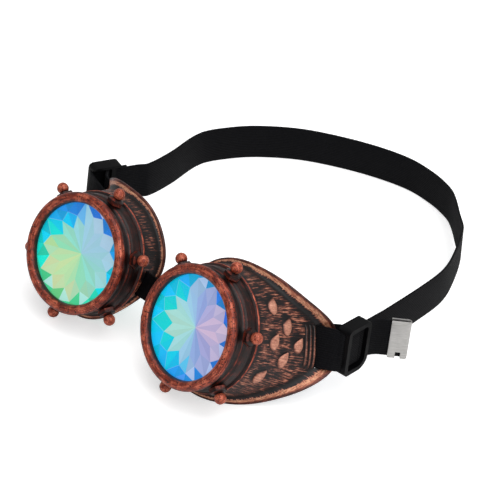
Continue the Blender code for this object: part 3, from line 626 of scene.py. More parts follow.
def cupSection(angle):
    # outline of the wall at one angle as (radius, depth), with the finish of each strip
    root = Vector(rimRootAt(angle))
    edge = Vector((rimReachAt(angle), rimDepthAt(angle)))
    shoulder = Vector((cup["shoulderRadius"], cup["shoulderDepth"]))
    barrel, bore, ahead = cup["barrelRadius"], cup["barrelBore"], -cup["barrelReach"]
    half, least, chamfer = cup["rimThickness"] / 2, cup["least"], cup["chamfer"]
    lipWay = Vector((1.0, cup["lipRise"])).normalized()
    lipSquare = Vector((lipWay.y, -lipWay.x))
    run, lip = root - shoulder, edge - root + Vector((0, half))
    reach = min(cup["fillet"], run.length * cup["filletShare"], lip.length * cup["filletShare"])
    wallStart, lipStart = root - run.normalized() * reach, root + lipWay * reach
    front, back = edge + lipSquare * half, edge - lipSquare * half
    rolledEdge = [edge + lipSquare * half * math.cos(t) + lipWay * half * math.sin(t)
                  for t in [math.pi * step / 6 for step in range(6)]]
    inner = Vector((max(root.x - cup["wall"], bore + least), 0.0))
    inner.y = max(back.y - (back.x - inner.x) * cup["lipRise"], shoulder.y + least)
    boreEnd = Vector((bore, shoulder.y))
    innerLip = inner + (back - inner).normalized() * reach * 0.5
    innerWall = inner + (boreEnd - inner).normalized() * reach * 0.5
    strips = (
        ("bezel", between((bore, ahead), (barrel - chamfer, ahead), 2)),
        ("bezel", between((barrel - chamfer, ahead), (barrel, ahead + chamfer), 1)),
        ("bezel", between((barrel, ahead + chamfer), (barrel, shoulder.y), 3)),
        ("shield", between((barrel, shoulder.y), shoulder, 2)),
        ("shield", between(shoulder, wallStart, 12)),
        ("shield", bowed(wallStart, root, lipStart, 6)),
        ("lip", between(lipStart, front, 5)), ("lip", rolledEdge),
        ("inside", between(back, innerLip, 3)),
        ("inside", bowed(innerLip, inner, innerWall, 4)),
        ("inside", between(innerWall, boreEnd, 6)),
        ("inside", between(boreEnd, (bore, ahead), 3)),
    )
    return ([point for finish, part in strips for point in part],
            [shellFinishes.index(finish) for finish, part in strips for point in part])


cupCopper = {
    # copper that the brush leaves on the lip and on the wall, from none at 0 to all at 1, each
    # with the shares of the lip or the mm over which it comes
    "lip": 0.86, "lipShares": (0.24, 0.40), "lipStart": 0.12, "lipGroove": 0.02,
    "wall": 0.56, "wallRun": (0.5, 4.0),
    # how much darker the rim's outer edge gets; what the black wash takes off at the shoulder,
    # round the bars and from the wall that carries no drops; and the painted shade round each drop
    "edge": 0.60, "edgeShares": (0.86, 1.02), "shoulder": 0.40, "shoulderRun": (0.2, 3.0),
    "bar": 0.5, "barRun": (-1.9, -1.1), "barMargin": 1.5, "dropShade": 0.50, "dropShadeRun": (0.6, 1.1),
    "dropShadeShift": (1.6, -1.4), "dropShadeSize": (5.2, 3.4), "plain": 0.12, "dropHalf": 75,
    "brushRadius": 33,  # mm, turns an angle into a length round the cup
}


def cupCoat(x, y, z):
    c = cupCopper
    angle, radius = math.atan2(z, x), math.hypot(x, z)
    rootRadius, rootDepth = rimRootAt(angle)
    stroke = (angle * c["brushRadius"], y, radius)
    lipShare = (radius - rootRadius) / lipWidthAt(angle)
    if lipShare > c["lipStart"]:
        left = c["lipGroove"] + c["lip"] * smoothStep(*c["lipShares"], lipShare)
        # darker towards the rim's outer edge
        return stroke, left - c["edge"] * smoothStep(*c["edgeShares"], lipShare)
    run = y - cup["shoulderDepth"]
    left = c["wall"] * smoothStep(*c["wallRun"], rootDepth - y)
    left -= c["shoulder"] * (1 - smoothStep(*c["shoulderRun"], run))
    if abs(math.degrees(angle) - bars["centre"]) < bars["half"] + c["barMargin"]:
        left -= c["bar"] * smoothStep(*c["barRun"], y - bars["depths"][0])
    if run <= 0 or abs(math.degrees(angle)) >= c["dropHalf"]:
        return stroke, left - c["plain"]
    for turnDeg, depthShare in drops["places"]:
        # painted shade: a dark patch above and before each drop, where the raised drop shades the
        # wall
        across = (angle - math.radians(turnDeg)) * c["brushRadius"] - c["dropShadeShift"][0]
        along = y - depthShare * cup["depth"] - c["dropShadeShift"][1]
        spread = math.hypot(across / c["dropShadeSize"][0], along / c["dropShadeSize"][1])
        left -= c["dropShade"] * (1 - smoothStep(*c["dropShadeRun"], spread))
    return stroke, left


def bridgeFrame():
    seat = cupFrame(1) @ Vector(cup["bridgeSeat"]) - goggleOrigin
    place = Vector((0, seat.y, seat.z)) + goggleOrigin
    pitched = Matrix.Rotation(-math.radians(cupSeat["pitch"]), 4, "X")
    return seat.x, Matrix.Translation(place) @ pitched


def boxTool(low, high, place=Matrix()):
    made = bmesh.new()
    bmesh.ops.create_cube(made, size=1.0)
    size = [b - a for a, b in zip(low, high)]
    middle = [(a + b) / 2 for a, b in zip(low, high)]
    shape = Matrix.Translation(middle) @ Matrix.Diagonal((*size, 1.0))
    bmesh.ops.transform(made, matrix=place @ shape, verts=made.verts)
    return toObject("tool", made, [])


def makeCup(side, hand):
    built = turn(lambda angle: cupSection(angle)[0], cup["steps"], cupSection(0)[1])
    shell = toObject(side + "_shell", built, [finishes[name] for name in shellFinishes])
    half = strap["width"] / 2 + cup["slotSpare"]
    wall, (below, above) = wallRadiusAt(0, cup["slotDepth"]), cup["slotRooms"]
    near, far = (cup["slotDepth"] + way * cup["slotWidth"] / 2 for way in (-1, 1))
    slot = boxTool((wall - below, near, -strap["slotDrop"] - half),
                   (wall + above, far, -strap["slotDrop"] + half))
    seatSide, bridgePlace = bridgeFrame()
    tall, thick = (cup[key] / 2 + cup["bridgeSpare"] for key in ("bridgeHeight", "bridgeThickness"))
    before, behind = cup["bridgeRooms"]
    bridgeSlot = boxTool((seatSide - before, -thick, -tall), (seatSide + behind, thick, tall),
                         cupFrame(1).inverted() @ bridgePlace)
    cut(shell, slot)
    cut(shell, bridgeSlot)
    applyAll(shell)
    discard(slot, bridgeSlot)
    paint(shell.data, [cupCoat(*vert.co) for vert in shell.data.vertices])
    if hand < 0:
        flipHand(shell.data)
    settle(shell, cupFrame(hand), 35)
    mount(shell, side + "_cup", [side + "_eye_cup"])


drops = {
    "length": 9.0, "width": 6.8, "height": 1.2, "lean": 12, "sunk": 0.15,
    # a leaf: how its tip narrows and flattens, and its half widths towards strap and lens
    "narrow": 0.66, "flatten": 0.25, "halves": (0.62, 1.12),
    # degrees round the cup, and share of its depth
    "places": ((29, .350), (-3, .358), (-35, .332), (11, .505), (-17, .493), (-5, .648)),
}
bars = {
    "depths": (36.71, 39.21, 41.71), "widths": (1.7, 1.5, 1.5), "height": 0.9, "half": 17,
    "centre": -3, "sunk": 0.15, "foot": 0.6, "steps": 32, "archSteps": 9,
}
reliefCopper = {
    # copper left at the foot and on the crest, what the wash takes off the bars, and how much
    # darker they get towards their upper ends
    "foot": 0.22, "crest": 0.62, "crestRise": (0.05, 0.8), "bars": 0.26, "barsFrom": 1.6,
    "upper": 0.26, "upperRise": (-6, 8),
}


def reliefCoat(x, y, z):
    c = reliefCopper
    angle, radius = math.atan2(z, x), math.hypot(x, z)
    left = c["foot"] + c["crest"] * smoothStep(*c["crestRise"], radius - wallRadiusAt(angle, y))
    if y > bars["depths"][0] - c["barsFrom"]:
        left -= c["bars"] + c["upper"] * smoothStep(*c["upperRise"], z)
    return (angle * cupCopper["brushRadius"], y, 0), left


def addDrop(made, turnDeg, depthShare):
    angle, depth = math.radians(turnDeg), depthShare * cup["depth"]
    ball = bmesh.ops.create_uvsphere(made, u_segments=28, v_segments=18, radius=1.0)
    for vert in ball["verts"]:
        # full towards the lens and nearly straight towards the strap
        tip = max(vert.co.z, 0)
        half = drops["halves"][0 if vert.co.x > 0 else 1]
        vert.co.x *= (1 - drops["narrow"] * tip ** 1.5) * half
        vert.co.y *= 1 - drops["flatten"] * tip
    radius = wallRadiusAt(angle, depth)
    steep = math.atan2(wallRadiusAt(angle, depth + 1) - radius, 1)
    place = (Matrix.Rotation(-angle, 4, "Y")
             @ Matrix.Translation((radius - drops["height"] * drops["sunk"], depth, 0))
             @ Matrix.Rotation(-steep, 4, "Z") @ Matrix.Rotation(math.pi / 2, 4, "Z")
             @ Matrix.Rotation(math.radians(drops["lean"]), 4, "Y")
             @ Matrix.Diagonal((drops["width"] / 2, drops["height"], drops["length"] / 2, 1)))
    bmesh.ops.transform(made, matrix=place, verts=ball["verts"])


def addBar(made, depth, width):
    sections = []
    for step in range(bars["steps"] + 1):
        share = 2 * step / bars["steps"] - 1
        angle = math.radians(bars["centre"] + bars["half"] * share)
        fade = math.sqrt(max(1 - share ** 8, 0.0))
        rows = []
        for k in range(bars["archSteps"] + 1):
            t = math.pi * k / bars["archSteps"]
            place = depth - math.cos(t) * width / 2
            lift = bars["height"] * math.sin(t) * fade - bars["sunk"]
            rows.append((wallRadiusAt(angle, place) + lift, place))
        rows.append((wallRadiusAt(angle, depth) - bars["foot"], depth))
        sections.append([(radius * math.cos(angle), place, radius * math.sin(angle))
                         for radius, place in rows])
    bar = skin(sections)
    spare = bpy.data.meshes.new("spare")
    bar.to_mesh(spare)
    bar.free()
    made.from_mesh(spare)
    bpy.data.meshes.remove(spare)


def makeRelief(side, hand):
    # raised drops and the bars before the strap slot, rubbed bright
    made = bmesh.new()
    for turnDeg, depthShare in drops["places"]:
        addDrop(made, turnDeg, depthShare)
    for depth, width in zip(bars["depths"], bars["widths"]):
        addBar(made, depth, width)
    relief = toObject(side + "_relief", made, [finishes["drop"]])
    paint(relief.data, [reliefCoat(*vert.co) for vert in relief.data.vertices])
    if hand < 0:
        flipHand(relief.data)
    settle(relief, cupFrame(hand), 60)
    mount(relief, side + "_cup", [])


for side, hand in sideHands.items():
    makeCup(side, hand)
    makeRelief(side, hand)
print("eye cups are built")


ring = {
    "depth": 6.9, "bore": 27.6, "radius": 29.6, "rearRidge": 1.2, "rearDepth": 1.2,
    "frontRidge": 0.7, "frontDepth": 2.0, "groove": 28.0, "beadRadius": 27.3,
    "beadHalfWidth": 2.55, "beadHalfDepth": 2.75, "beadReach": 8.25, "beadSweep": 1.22,
    "beadSteps": 28, "lipBack": 7.3, "barrelReach": 3.4, "lensRadius": 26.7, "gap": 0.3,
    "steps": 192,
    # copper kept on the bead's front, more on its crest, and lost into the groove
    "kept": 0.62, "crest": 0.20, "lost": 0.55, "lostShares": (0.76, 0.96),
    "innerSteps": 5, "innerKept": 0.14,  # beside the lens the bead goes black step by step
    "brushRadius": 30, "brushShift": 9,
}


def bezelOutline():
    # (radius, depth, copper kept) round the section of the ring
    r = ring
    rows = []
    for step in range(r["beadSteps"] + 1):
        share = step / r["beadSteps"]
        t = math.pi * (1 + r["beadSweep"] * share)
        kept = r["kept"] + r["crest"] * math.sin(t - math.pi)
        kept -= r["lost"] * smoothStep(*r["lostShares"], share)
        if step < r["innerSteps"]:
            kept = r["innerKept"] * step
        rows.append((r["beadRadius"] + r["beadHalfWidth"] * math.cos(t),
                     -r["beadReach"] + r["beadHalfDepth"] * math.sin(t), kept))
    front, ridge, groove = -r["frontDepth"], r["frontRidge"], r["groove"]
    rear, rearRadius = r["depth"] - r["rearDepth"], r["radius"] + r["rearRidge"]
    seat, lens = -r["barrelReach"] - r["gap"], r["lensRadius"] + r["gap"]
    rows += [
        (groove, front - 2 * r["frontDepth"] + ridge, 0.0), (groove, front - ridge, 0.02),
        (groove + ridge * 0.55, front - ridge * 0.45, 0.10), (groove + ridge, front, 0.62),
        (groove + ridge * 1.1, front + 0.25, 0.45), (groove + ridge * 1.3, front + 0.6, 0.12),
        (r["radius"] - 0.15, -ridge, 0.16), (r["radius"], -ridge + 0.3, 0.20),
        (r["radius"], rear - ridge - 0.8, 0.20), (r["radius"], rear - ridge, 0.04),
        (r["radius"] + r["rearRidge"] * 0.75, rear - 0.15, 0.15),
        (rearRadius - 0.15, rear, 0.80), (rearRadius, rear + 0.2, 0.95),
        (rearRadius, r["depth"] - 0.45, 0.60), (rearRadius, r["depth"] - 0.25, 0.15),
        (rearRadius - 0.25, r["depth"], 0.05), (r["bore"], r["depth"], 0.10),
        (r["bore"], seat, 0.10), (lens, seat, 0.10), (lens, -r["lipBack"], 0.10),
        (r["beadRadius"] - r["beadHalfWidth"], -r["lipBack"], 0.10),
    ]
    return rows


def makeBezel(side, hand):
    rows = bezelOutline()
    outline = [(radius, depth) for radius, depth, kept in rows]
    made = toObject(side + "_bezel", turn(lambda angle: outline, ring["steps"]),
                    [finishes["bezel"]])
    run = [ring["brushShift"] * hand]
    for first, second in zip(outline, outline[1:]):
        run.append(run[-1] + math.dist(first, second))
    coats = []
    for step in range(ring["steps"]):
        # streaks are laid on a circle so that they meet at the seam
        angle = math.tau * step / ring["steps"]
        across, rise = (ring["brushRadius"] * way(angle) for way in (math.cos, math.sin))
        coats += [((across, along, rise), kept)
                  for along, (radius, depth, kept) in zip(run, rows)]
    paint(made.data, coats)
    settle(made, cupFrame(hand), 50)
    mount(made, side + "_bezel", [side + "_bezel_ring"])


stud = {
    "count": 6, "firstLeft": 1.2, "firstRight": 22.8, "ballRadius": 2.9, "ballCentre": 35.0,
    "baseAcross": 7.6, "baseHeight": 2.1, "neckRadius": 1.6, "collar": 1.1,
    # copper kept on the ball, on the base and between them, with the heights that part them
    "ball": 0.92, "base": 0.64, "between": 0.10, "ballFrom": 3.3, "baseBelow": 2.15,
    "brushScale": 2,
}


def studTree():
    # one stud of a hexagonal base, neck and ball, set round the ring
    tree = bpy.data.node_groups.new("stud_ring", "GeometryNodeTree")
    sockets = {}
    for label in ("Count", "First angle", "Step angle", "Seat radius", "Base across",
                  "Base height", "Neck radius", "Ball radius", "Ball height", "Finish"):
        kind = {"Count": "NodeSocketInt", "Finish": "NodeSocketMaterial"}.get(
            label, "NodeSocketFloat")
        sockets[label] = tree.interface.new_socket(
            name=label, in_out="INPUT", socket_type=kind).identifier
    tree.interface.new_socket(name="Geometry", in_out="OUTPUT",
                              socket_type="NodeSocketGeometry")
    given = addNode(tree, "NodeGroupInput").outputs
    half = addNode(tree, "ShaderNodeMath", {"operation": "MULTIPLY", 1: 0.5}, {
        0: given["Base across"]})
    corner = addNode(tree, "ShaderNodeMath", {
        "operation": "MULTIPLY", 1: 1 / math.cos(math.pi / 6)}, {0: half.outputs[0]})
    base = addNode(tree, "GeometryNodeMeshCylinder", {"Vertices": 6}, {
        "Radius": corner.outputs[0], "Depth": given["Base height"]})
    collar = addNode(tree, "GeometryNodeMeshCone", {"Vertices": 28, "Depth": stud["collar"]}, {
        "Radius Top": given["Neck radius"], "Radius Bottom": half.outputs[0]})
    neck = addNode(tree, "GeometryNodeMeshCylinder", {"Vertices": 28}, {
        "Radius": given["Neck radius"], "Depth": given["Ball height"]})
    ball = addNode(tree, "GeometryNodeMeshUVSphere", {"Segments": 36, "Rings": 20}, {
        "Radius": given["Ball radius"]})
    whole = addNode(tree, "GeometryNodeJoinGeometry")
    # each shape rises by a share of one of the heights; the cone's origin is at its foot
    for shape, height, share in ((base, "Base height", 0.5), (collar, "Base height", 1.0),
                                 (neck, "Ball height", 0.4), (ball, "Ball height", 1.0)):
        lift = addNode(tree, "ShaderNodeMath", {"operation": "MULTIPLY", 1: share}, {
            0: given[height]})
        place = addNode(tree, "ShaderNodeCombineXYZ", {}, {"Z": lift.outputs[0]})
        raised = addNode(tree, "GeometryNodeTransform", {}, {
            "Geometry": shape.outputs["Mesh"], "Translation": place.outputs[0]})
        tree.links.new(raised.outputs[0], whole.inputs[0])
    index = addNode(tree, "GeometryNodeInputIndex")
    angle = addNode(tree, "ShaderNodeMath", {"operation": "MULTIPLY_ADD"}, {
        0: index.outputs[0], 1: given["Step angle"], 2: given["First angle"]})
    across = addNode(tree, "ShaderNodeMath", {"operation": "COSINE"}, {0: angle.outputs[0]})
    rise = addNode(tree, "ShaderNodeMath", {"operation": "SINE"}, {0: angle.outputs[0]})
    spot = addNode(tree, "ShaderNodeCombineXYZ", {}, {
        "X": across.outputs[0], "Z": rise.outputs[0]})
    seat = addNode(tree, "ShaderNodeVectorMath", {"operation": "SCALE"}, {
        "Vector": spot.outputs[0], "Scale": given["Seat radius"]})
    lean = addNode(tree, "ShaderNodeMath", {"operation": "SUBTRACT", 0: math.pi / 2}, {
        1: angle.outputs[0]})
    turned = addNode(tree, "ShaderNodeCombineXYZ", {}, {"Y": lean.outputs[0]})
    points = addNode(tree, "GeometryNodePoints", {}, {
        "Count": given["Count"], "Position": seat.outputs[0]})
    placed = addNode(tree, "GeometryNodeInstanceOnPoints", {}, {
        "Points": points.outputs[0], "Instance": whole.outputs[0],
        "Rotation": turned.outputs[0]})
    real = addNode(tree, "GeometryNodeRealizeInstances", {}, {0: placed.outputs[0]})
    painted = addNode(tree, "GeometryNodeSetMaterial", {}, {
        "Geometry": real.outputs[0], "Material": given["Finish"]})
    addNode(tree, "NodeGroupOutput", {}, {0: painted.outputs[0]})
    return tree, sockets


def makeStuds(side, hand, tree, sockets):
    made = toObject(side + "_studs", bmesh.new(), [])
    first = math.radians(stud["firstLeft"]) if hand > 0 else math.pi - math.radians(
        stud["firstRight"])
    seat = ring["radius"] + ring["gap"]
    step = made.modifiers.new("studs", "NODES")
    step.node_group = tree
    for label, value in {
            "Count": stud["count"], "First angle": first,
            "Step angle": hand * math.tau / stud["count"], "Seat radius": seat,
            "Base across": stud["baseAcross"], "Base height": stud["baseHeight"],
            "Neck radius": stud["neckRadius"], "Ball radius": stud["ballRadius"],
            "Ball height": stud["ballCentre"] - seat, "Finish": finishes["bezel"]}.items():
        step[sockets[label]] = value
    applyAll(made)
    coats = []
    for vert in made.data.vertices:
        rise = math.hypot(vert.co.x, vert.co.z) - seat
        zone = "base" if rise < stud["baseBelow"] else "between"
        left = stud["ball" if rise > stud["ballFrom"] else zone]
        coats.append((vert.co * stud["brushScale"], left))
    paint(made.data, coats)
    settle(made, cupFrame(hand), 40)
    names = [f"{side}_stud_{i + 1}" for i in range(stud["count"])]
    mount(made, side + "_bezel", names)


studNodes, studSockets = studTree()
for side, hand in sideHands.items():
    makeBezel(side, hand)
    makeStuds(side, hand, studNodes, studSockets)
print("bezels and studs are built")


crystal = {
    "front": -7.0, "boss": 0.5, "bossRadius": 24.45, "rim": 1.2, "radius": 26.7, "depth": 7.4,
    "points": 12,
    # radius share and depth share of the heart's corners, of the notches between the star's
    # points, of the tips of the long and the short points, and of the rim between two tips
    "heart": (0.50, 0.54), "notch": (0.71, 0.26), "tips": ((0.94, 0.06), (0.84, 0.16)),
    "between": (0.965, 0.03),
    # the tints that the film runs through as it is seen more and more aslant, and the pale tint of
    # the painted light that comes through the crystal from behind
    "film": ("#CFE480", "#52DC92", "#16E0C4", "#04CAF2", "#1E98EA", "#2A64DC", "#9080D6",
             "#CFA2CE"),
    "backlightTint": "#C6D2DA",
    # place along those tints in the middle, reach to either side, direction in degrees
    "rimFilm": {1: (0.56, 0.14, -11), -1: (0.42, 0.26, 77)},
    "starFilm": {1: (0.58, 0.38, -1), -1: (0.24, 0.23, 107)},
    # how pale the painted light from behind makes the middle of the star, and how that changes
    # along the film's direction
    "pale": {1: (0.50, -0.14), -1: (0.46, 0.16)},
    # where painted light from behind keeps the star's points pale, and how wide, in degrees, with
    # the share of that width at which it starts to fade
    "backlitZone": {1: (4, 105), -1: (-163, 150)}, "backlitFade": 0.85,
    # the crystal's refraction lifts its facets towards the eye: they are drawn once more at
    # this share of their depth, inside the solid
    "lifted": 0.4, "liftedAcross": 0.99,
    # refraction also breaks up the star: share by which the corners inside it stray
    "stray": 0.045, "strayBelow": 0.95, "strayTurns": (2.4, 3),
    "noEdge": 2.0,  # mm, given to a corner that lies on no pale edge
    # how far neighbouring facets differ: place along the tints, at the tips also backwards,
    # and brightness
    "swayTurn": 2.399, "swayPlace": 0.05, "tipBack": (0.10, 0.08), "tipPale": 0.06,
    # the share by which a painted highlight turns the rim facets that sway most pale, and the sway
    # above which it does
    "rimHighlight": 0.6, "rimHighlightFrom": 0.86, "swayLight": {"heart": 0.06, "tip": 0.06, "rim": 0.20},
}


def facetTint(hand, zone, angle, number):
    # the film's colour on one facet: saturated at the rim, made pastel over the star by painted
    # light from behind, and pale on a few rim facets with a painted highlight
    c = crystal
    sway = math.sin(number * c["swayTurn"] + hand)
    centre, width = c["backlitZone"][hand]
    off = abs((math.degrees(angle) - centre + 180) % 360 - 180)
    backlit = 1 - smoothStep(width * c["backlitFade"], width, off)
    isStar = zone == "heart" or (zone == "tip" and backlit > 0.5)
    middle, reach, axis = c["starFilm" if isStar else "rimFilm"][hand]
    along = math.cos(angle - math.radians(axis))
    place = middle + reach * along + c["swayPlace"] * sway
    if zone == "tip" and not isStar:
        place -= c["tipBack"][0] + c["tipBack"][1] * sway
    place = min(max(place, 0), 0.999) * (len(c["film"]) - 1)
    first, second = (hexColour(c["film"][int(place) + k]) for k in (0, 1))
    tint = [a + (b - a) * (place - int(place)) for a, b in zip(first, second)]
    # painted light from behind makes the star pale
    basePale = c["pale"][hand][0] + c["pale"][hand][1] * along
    # a painted highlight turns some rim facets pale
    pale = {"heart": basePale, "tip": (basePale + c["tipPale"]) * backlit,
            "rim": c["rimHighlight"] * backlit * (sway > c["rimHighlightFrom"])}[zone]
    tint = [a + (b - a) * pale for a, b in zip(tint, hexColour(c["backlightTint"]))]
    return [v * (1 + c["swayLight"][zone] * sway) for v in tint]


def facetSheet(made, hand, across, lift):
    # the faceted back of one crystal, with the film's tint on each facet
    c = crystal
    count = c["points"]

    def ringOf(shares, phase, points):
        ring = []
        for i in range(points):
            share, deep = shares[i % len(shares)]
            angle = math.tau * (i + phase) / points
            if lift < 1 and share < c["strayBelow"]:
                each, shift = c["strayTurns"]
                share *= 1 + c["stray"] * math.sin(i * each + phase * shift + hand)
            ring.append(made.verts.new((
                c["radius"] * across * share * math.cos(angle),
                c["front"] + (c["rim"] + c["depth"] * deep) * lift,
                c["radius"] * across * share * math.sin(angle))))
        return ring

    side = ringOf(((1, 0),), 0, 4 * count)
    hearts = ringOf((c["heart"],), 0, count)
    notches = ringOf((c["notch"],), 0.5, count)
    tips = ringOf(c["tips"], 0, count)
    betweens = ringOf((c["between"],), 0.5, count)
    middle = ringOf(((0, 1),), 0, 1)[0]
    # each facet: its zone, its corners, and the two corners joined by a polished edge that gets a
    # painted highlight
    facets = []
    for i in range(count):
        j = (i + 1) % count
        for notch in (notches[i - 1], notches[i]):
            facets.append(("heart", (middle, hearts[i], notch), ()))
            facets.append(("tip", (hearts[i], tips[i], notch), ()))
        facets.append(("rim", (notches[i], tips[i], betweens[i]), (tips[i], notches[i])))
        facets.append(("rim", (notches[i], betweens[i], tips[j]), (notches[i], tips[j])))
        span = [side[(4 * i + k) % len(side)] for k in range(5)]
        facets.append(("rim", (tips[i], span[0], span[1], span[2], betweens[i]), ()))
        facets.append(("rim", (betweens[i], span[2], span[3], span[4], tips[j]), ()))
    tint = made.loops.layers.float_color["tint"]
    inset = made.loops.layers.float_vector["inset"]
    for number, (zone, verts, edge) in enumerate(facets):
        face = made.faces.new(verts)
        spot = face.calc_center_median()
        colour = facetTint(hand, zone, math.atan2(spot.z, spot.x * hand), number)
        for corner in face.loops:
            corner[tint] = (*(min(max(v, 0), 1) for v in colour[:3]), 1)
            away = c["noEdge"]
            if edge:
                a, b = (v.co for v in edge)
                away = (corner.vert.co - a).cross(b - a).length / (b - a).length
            corner[inset] = (away, 0, 0)
    return side


def makeCrystal(side, hand):
    c = crystal
    made = bmesh.new()
    made.loops.layers.float_color.new("tint")
    made.loops.layers.float_vector.new("inset")
    back = facetSheet(made, hand, 1.0, 1.0)
    rings = [[made.verts.new((radius * math.cos(math.tau * i / len(back)), depth,
                              radius * math.sin(math.tau * i / len(back))))
              for i in range(len(back))]
             for radius, depth in ((c["bossRadius"], c["front"] - c["boss"]),
                                   (c["bossRadius"], c["front"]), (c["radius"], c["front"]))]
    made.faces.new(rings[0]).material_index = 1
    for first, second in zip(rings, rings[1:] + [back]):
        for i in range(len(back)):
            j = (i + 1) % len(back)
            made.faces.new((first[i], first[j], second[j], second[i])).material_index = 1
    facetSheet(made, hand, c["liftedAcross"], c["lifted"])
    bmesh.ops.recalc_face_normals(made, faces=made.faces)
    lens = toObject(side + "_crystal", made, [finishes["coating"], finishes["clear"]])
    lens.data.transform(toMetres @ cupFrame(hand))
    mount(lens, side + "_lens_carrier", [side + "_crystal_lens"])


for side, hand in sideHands.items():
    makeCrystal(side, hand)
    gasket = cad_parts[side + "_lens_gasket"].data.materials
    gasket.clear()
    gasket.append(finishes["rubber"])
print("crystal lenses are cut")


def stadium(width, thickness):
    # flat band section with rounded edges, as (across, up)
    half, radius = width / 2 - thickness / 2, thickness / 2
    points = []
    for end in (1, -1):
        for step in range(7):
            t = math.pi * step / 6
            points.append((end * radius * math.cos(t), end * (half + radius * math.sin(t))))
    return points


def makeBand(name, route, rises):
    # webbing along a route, with the band's upward direction at each point
    sections, marks = [], []
    last = len(route) - 1
    outline = stadium(strap["width"], strap["thickness"])
    run = 0.0
    for i, (centre, rise) in enumerate(zip(route, rises)):
        ahead = route[min(i + 1, last)] - route[max(i - 1, 0)]
        across = ahead.cross(rise).normalized()
        up = rise.normalized()
        if i:
            run += (route[i] - route[i - 1]).length
        sections.append([centre + across * a + up * u for a, u in outline])
        marks += [(run, u, a) for a, u in outline]
    made = toObject(name, skin(sections), [finishes["webbing"]])
    addAttribute(made.data, "weave", marks)
    settle(made, Matrix(), 60)
    return made


tail = {"start": 4.3, "straight": 9.4, "radius": 10.3, "bend": 51, "run": 3.4, "insert": 7.6,
        "steps": 16, "shortEnd": 3.5}


def loopPoints(hand):
    # webbing from the slide over the rim, in through the slot and back; both hands are laid
    # out on the left side, and the right one is mirrored at the end
    cupPlace = cupFrame(1)
    back = strap["slideBack"][hand]
    place = Vector((strap["side"][hand], back, strapHeight(back) - strap["drop"][hand]))
    seat = (Matrix.Translation(place + goggleOrigin)
            @ Matrix.Rotation(math.radians(strap["turn"][hand]), 4, "Z")
            @ Matrix.Rotation(-strapSlope, 4, "X"))
    cupRise, seatRise = (held.to_3x3() @ Vector((0, 0, 1)) for held in (cupPlace, seat))
    rows = [(seat @ Vector((layerOffset, along, 0)), seatRise)
            for along in (tail["start"] - strap["gap"], 0.0, -slide["length"] / 2)]
    for reach, depth, share in strap["loop"]:
        point = cupPlace @ Vector((reach * cup["reach"], depth * cup["depth"],
                                   -strap["slotDrop"]))
        point = point - seatRise * (seat.inverted() @ point).z * share
        rows.append((point, cupRise.lerp(seatRise, share)))
    for along in strap["underBar"]:
        rows.append((seat @ Vector((-layerOffset, along, 0)), seatRise))
    if hand > 0:
        return rows
    mirror = Matrix.Translation((2 * goggleOrigin.x, 0, 0)) @ Matrix.Diagonal((-1, 1, 1, 1))
    return [(mirror @ point, mirror.to_3x3() @ rise) for point, rise in rows]


def behindSlide(hand):
    # the webbing stays straight for as far as the slide travels
    along = slide["length"] / 2 + strap["travel"][hand] + strap["behind"]
    return [(glideFrame(hand) @ Vector((-layerOffset * hand, along + more, 0)), None)
            for more in (0, strap["lead"])]


def makeStrap():
    rows = loopPoints(1) + behindSlide(1)
    for side, depth in strap["route"]:
        back = strap["front"] + depth * (strap["back"] - strap["front"])
        rows.append((Vector((side * strap["halfSpan"], back, strapHeight(back)))
                     + goggleOrigin, None))
    rows += behindSlide(-1)[::-1] + loopPoints(-1)[::-1]
    stepsPerSpan = strap["stepsPerSpan"]
    route = smoothRoute([row[0] for row in rows], stepsPerSpan)
    last = len(rows) - 1
    rises = []
    for i in range(len(route)):
        ahead = (route[min(i + 1, len(route) - 1)] - route[max(i - 1, 0)]).normalized()
        level = Vector((0, 0, 1)) - ahead * ahead.z
        k = min(i // stepsPerSpan, last - 1)
        share = (i - k * stepsPerSpan) / stepsPerSpan
        first, second = (rows[k + more][1] or level for more in (0, 1))
        rises.append(first.normalized().lerp(second.normalized(), share))
    made = makeBand("strap", route, rises)
    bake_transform(made)
    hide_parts("left_strap_loop", "right_strap_loop", "head_strap")


def tailEnd():
    # frame of the clip's mouth, past the bend
    bend = math.radians(tail["bend"])
    out = layerOffset + tail["radius"] * (1 - math.cos(bend))
    along = tail["straight"] + tail["radius"] * math.sin(bend)
    bent = Matrix.Translation((out, along, 0)) @ Matrix.Rotation(-bend, 4, "Z")
    return bent @ Matrix.Translation((0, tail["run"], 0))


def flatRun(hand, stop):
    # webbing laid straight on the slide's bar
    lead = stop - tail["start"]
    return [Vector((layerOffset * hand, tail["start"] + k * lead / 6, 0)) for k in range(7)]


def makeEnd(side, hand, name, route, node):
    seat = glideFrame(hand)
    rise = seat.to_3x3() @ Vector((0, 0, 1))
    made = makeBand(name, [seat @ point for point in route], [rise] * len(route))
    mount(made, side + "_glide", [node])


def makeEnds():
    # the left end bends outwards into its clip, and the right one is cut short
    route = flatRun(1, tail["straight"])
    for step in range(1, tail["steps"] + 1):
        t = math.radians(tail["bend"]) * step / tail["steps"]
        route.append(Vector((layerOffset + tail["radius"] * (1 - math.cos(t)),
                             tail["straight"] + tail["radius"] * math.sin(t), 0)))
    end = tailEnd()
    route += [end @ Vector((0, tail["insert"] * k / 4, 0)) for k in range(1, 5)]
    makeEnd("left", 1, "left_tail", route, "left_strap_tail")
    route = flatRun(-1, slide["length"] / 2 + tail["shortEnd"])
    makeEnd("right", -1, "right_end", route, "right_strap_end")


clipSheet = {"length": 9.5, "sheet": 0.6, "gap": 0.3, "over": 0.4, "edge": 0.22, "crease": 1.5,
             "creaseHalf": 0.35, "creaseShare": 0.86, "notch": (0.38, 0.64), "notchTop": 3.4,
             "firstRow": 1.2, "arcSteps": 10}


